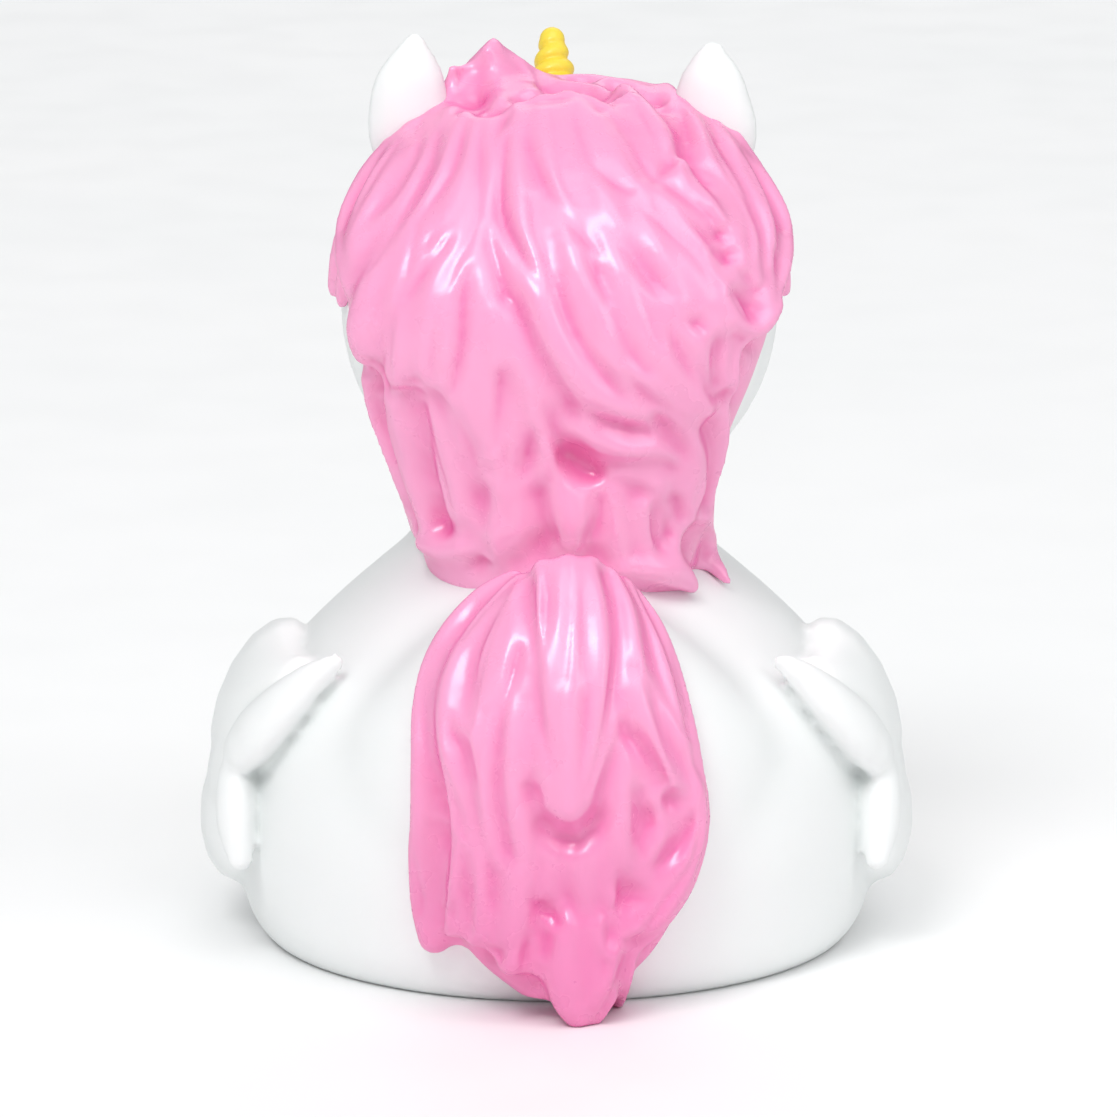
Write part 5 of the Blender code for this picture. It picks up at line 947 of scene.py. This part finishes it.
def combed(bm, locks, size, grooves):
    """Locks blended into one soft mass and then grooved."""
    mesh = blended(locks, size, HAIR_SWELL, HAIR_SMOOTH_STEPS)
    carve(mesh, grooves)
    bm.from_mesh(mesh)


def torso(bm):
    bm.from_mesh(blended(body, TORSO_SIZE, TORSO_SWELL, TORSO_SMOOTH_STEPS))


def mane_hair(bm):
    combed(bm, mane, MANE_SIZE, MANE_GROOVES)


def tail_hair(bm):
    combed(bm, tail, TAIL_SIZE, TAIL_GROOVES)


# Pieces: name, the forms fused into each, grid size, passes of smoothing, slot of the record.
SHOWN = (
    ("white_skin", (torso, head, wings, ears), 0.56 * MM, 4, "white_vinyl"),
    ("horn", (horn,), 0.16 * MM, 2, "yellow_paint"),
    ("bill", (bill,), 0.30 * MM, 4, "orange_paint"),
    ("eyes", (eyes,), 0.20 * MM, 3, "black_paint"),
    ("mane_hair", (mane_hair,), MANE_SIZE, 1, "pink_paint"),
    ("tail_hair", (tail_hair,), TAIL_SIZE, 1, "pink_paint"),
)


def keep_in_box(piece, low, high):
    """Holds every corner of the piece inside the solid's box, which also levels the underside."""
    held = np.clip(vectors_of(piece.data.vertices, "co"), np.array(low), np.array(high))
    piece.data.vertices.foreach_set("co", held.ravel())
    piece.data.update()


def relaxed(places, edges, counts, passes):
    """The places, each drawn to the middle of its neighbours again and again."""
    for _ in range(passes):
        total = np.zeros_like(places)
        for axis in range(3):
            total[:, axis] += np.bincount(edges[:, 0], places[edges[:, 1], axis], len(places))
            total[:, axis] += np.bincount(edges[:, 1], places[edges[:, 0], axis], len(places))
        places = 0.5 * places + 0.5 * total / counts[:, None]
    return places


def mark_hollows(piece, passes):
    """Stores how deep each corner lies below the smoothed skin, in millimetres."""
    mesh = piece.data
    places = vectors_of(mesh.vertices, "co")
    edges = np.empty(2 * len(mesh.edges), dtype=np.int32)
    mesh.edges.foreach_get("vertices", edges)
    edges = edges.reshape(-1, 2)
    counts = np.bincount(edges.ravel(), minlength=len(places)).astype(float)
    normals = vectors_of(mesh.vertex_normals, "vector")
    for name, count in passes:
        smooth = relaxed(places, edges, counts, count)
        depth = ((smooth - places) * normals).sum(axis=1) / MM
        made = mesh.attributes.new(name, "FLOAT", "POINT")
        made.data.foreach_set("value", depth.astype(np.float32))


class Shader:
    """A material's node tree, with short calls to fill it."""

    def __init__(self, name):
        self.material = bpy.data.materials.new(name)
        self.material.use_nodes = True
        self.tree = self.material.node_tree
        self.skin = self.tree.nodes["Principled BSDF"]
        self.place = self.add("TexCoord").outputs["Object"]

    def add(self, kind, **settings):
        made = self.tree.nodes.new("ShaderNode" + kind)
        for key, value in settings.items():
            setattr(made, key, value)
        return made

    def join(self, start, end):
        self.tree.links.new(start, end)

    def noise(self, scale, detail):
        """Noise over the object: features are about 1 / scale metres across."""
        made = self.add("TexNoise")
        made.inputs["Scale"].default_value = scale
        made.inputs["Detail"].default_value = detail
        self.join(self.place, made.inputs["Vector"])
        return made.outputs["Fac"]

    def stretched(self, value, *ends):
        """The value moved from one range to another, and held inside it."""
        made = self.add("MapRange", clamp=True, interpolation_type="SMOOTHSTEP")
        self.join(value, made.inputs["Value"])
        for socket, end in zip(("From Min", "From Max", "To Min", "To Max"), ends):
            made.inputs[socket].default_value = end
        return made.outputs["Result"]

    def attribute(self, name):
        return self.add("Attribute", attribute_name=name).outputs["Fac"]

    def mixed(self, share, first, second):
        """A colour between first and second. Each may be a colour or a socket."""
        made = self.add("Mix", data_type="RGBA")
        if isinstance(share, float):
            made.inputs[0].default_value = share
        else:
            self.join(share, made.inputs[0])
        for socket, colour in ((made.inputs[6], first), (made.inputs[7], second)):
            if isinstance(colour, tuple):
                socket.default_value = (*colour, 1.0)
            else:
                self.join(colour, socket)
        return made.outputs[2]

    def bump(self, height, strength, distance, before=None):
        made = self.add("Bump")
        made.inputs["Strength"].default_value = strength
        made.inputs["Distance"].default_value = distance
        self.join(height, made.inputs["Height"])
        if before is not None:
            self.join(before, made.inputs["Normal"])
        return made.outputs["Normal"]

    def set(self, **values):
        for key, value in values.items():
            self.skin.inputs[key.replace("_", " ")].default_value = value


def soft_plastic(name, light, deep, roughness, see_in, glow, sheen, low_shade_share):
    """Painted or bare vinyl: its own light colour on the ridges, painted shade of the deep colour in the
    hollows, at the rim and towards the floor, with a fine uneven skin.
    """
    shader = Shader(name)
    # Painted shade: fine and broad hollows, the rim turned from the eye and the lower part of the piece
    # mix in the deep colour, and ridges keep the full light colour as a painted highlight.
    fine = shader.stretched(shader.attribute("hollow_fine"), *FINE_RANGE, 0.0, 1.0)
    broad = shader.stretched(shader.attribute("hollow_broad"), *BROAD_RANGE, 0.0, 1.0)
    rim_shade = shader.stretched(shader.add("LayerWeight").outputs["Facing"], *RIM_SHADE_RANGE, 0.0, RIM_SHADE_SHARE)
    height = shader.add("SeparateXYZ")
    shader.join(shader.place, height.inputs["Vector"])
    low = shader.stretched(height.outputs["Z"], *LOW_SHADE_RANGE, low_shade_share, 0.0)
    cloud = shader.stretched(shader.noise(*CLOUDS), *NOISE_RANGE, 0.0, CLOUD_SHARE)
    colour = shader.mixed(broad, light, shader.mixed(0.5, light, deep))
    for share in (fine, rim_shade, low, cloud):
        colour = shader.mixed(share, colour, deep)
    shader.join(colour, shader.skin.inputs["Base Color"])
    worn = (roughness - WEAR_DOWN, roughness + WEAR_UP)
    gloss = shader.stretched(shader.noise(*WEAR), *NOISE_RANGE, *worn)
    shader.join(gloss, shader.skin.inputs["Roughness"])
    wave = shader.bump(shader.noise(*WAVES), *WAVE_BUMP)
    grain = shader.bump(shader.noise(*GRAIN), *GRAIN_BUMP, wave)
    shader.join(grain, shader.skin.inputs["Normal"])
    shader.set(Metallic=0.0, Specular_IOR_Level=sheen)
    shader.set(Subsurface_Weight=see_in, Subsurface_Scale=SCATTER_SCALE, Subsurface_Radius=glow)
    return shader.material


def floor_material():
    shader = Shader("pale_floor")
    shade = shader.stretched(shader.noise(*FLOOR_STAINS), *NOISE_RANGE, 0.0, 1.0)
    shader.join(shader.mixed(shade, FLOOR_COLOUR, FLOOR_SHADE), shader.skin.inputs["Base Color"])
    worn = shader.stretched(shader.noise(*FLOOR_WEAR), *NOISE_RANGE, *FLOOR_ROUGHNESS)
    shader.join(worn, shader.skin.inputs["Roughness"])
    return shader.material


def stage_floor():
    bm = bmesh.new()
    bmesh.ops.create_circle(bm, cap_ends=True, segments=FLOOR_SIDES, radius=FLOOR_RADIUS)
    mesh = bpy.data.meshes.new("floor")
    bm.to_mesh(mesh)
    bm.free()
    floor = placed("floor", mesh)
    floor.location.z = -FLOOR_DROP
    mesh.materials.append(floor_material())


def soft_lamps():
    for name, place, side, power in LAMPS:
        data = bpy.data.lights.new(name, "AREA")
        data.shape = "DISK"
        data.size = side
        data.energy = power
        lamp = placed(name, data)
        lamp.location = place
        lamp.rotation_euler = (SHEET_MIDDLE - Vector(place)).to_track_quat("-Z", "Y").to_euler()
    above = bpy.data.lights.new("above", "SUN")
    above.energy = ABOVE_STRENGTH
    above.angle = ABOVE_SPREAD
    lamp = placed("above", above)
    lamp.rotation_euler = Vector(ABOVE_FROM).to_track_quat("Z", "Y").to_euler()
    world = bpy.data.worlds.new("studio")
    world.use_nodes = True
    air = world.node_tree.nodes["Background"]
    air.inputs["Color"].default_value = (*AIR_COLOUR, 1.0)
    air.inputs["Strength"].default_value = AIR_STRENGTH
    bpy.context.scene.world = world
    bpy.context.scene.view_settings.view_transform = "Standard"


def photo_camera():
    """Behind the duck and a little above it, with the whole sheet in view."""
    data = bpy.data.cameras.new("camera")
    data.sensor_width = SENSOR
    data.lens = SENSOR * SIGHT_DISTANCE / (2 * SHEET_HALF * MM)
    data.clip_start = CLIP_START
    camera = placed("camera", data)
    camera.location = EYE
    camera.rotation_euler = SIGHT_AHEAD.to_track_quat("-Z", "Y").to_euler()
    bpy.context.scene.camera = camera


def main():
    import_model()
    low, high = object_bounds()
    for *making, slot in SHOWN:
        piece = fused(*making)
        keep_in_box(piece, low, high)
        # Hollow depths, which the material turns into painted shade.
        mark_hollows(piece, HOLLOW_PASSES)
        piece.data.materials.append(soft_plastic(slot, *FINISHES[slot]))
        piece.data.shade_smooth()
        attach(piece, "root")
        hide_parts("duck")
    photo_camera()
    soft_lamps()
    stage_floor()


main()
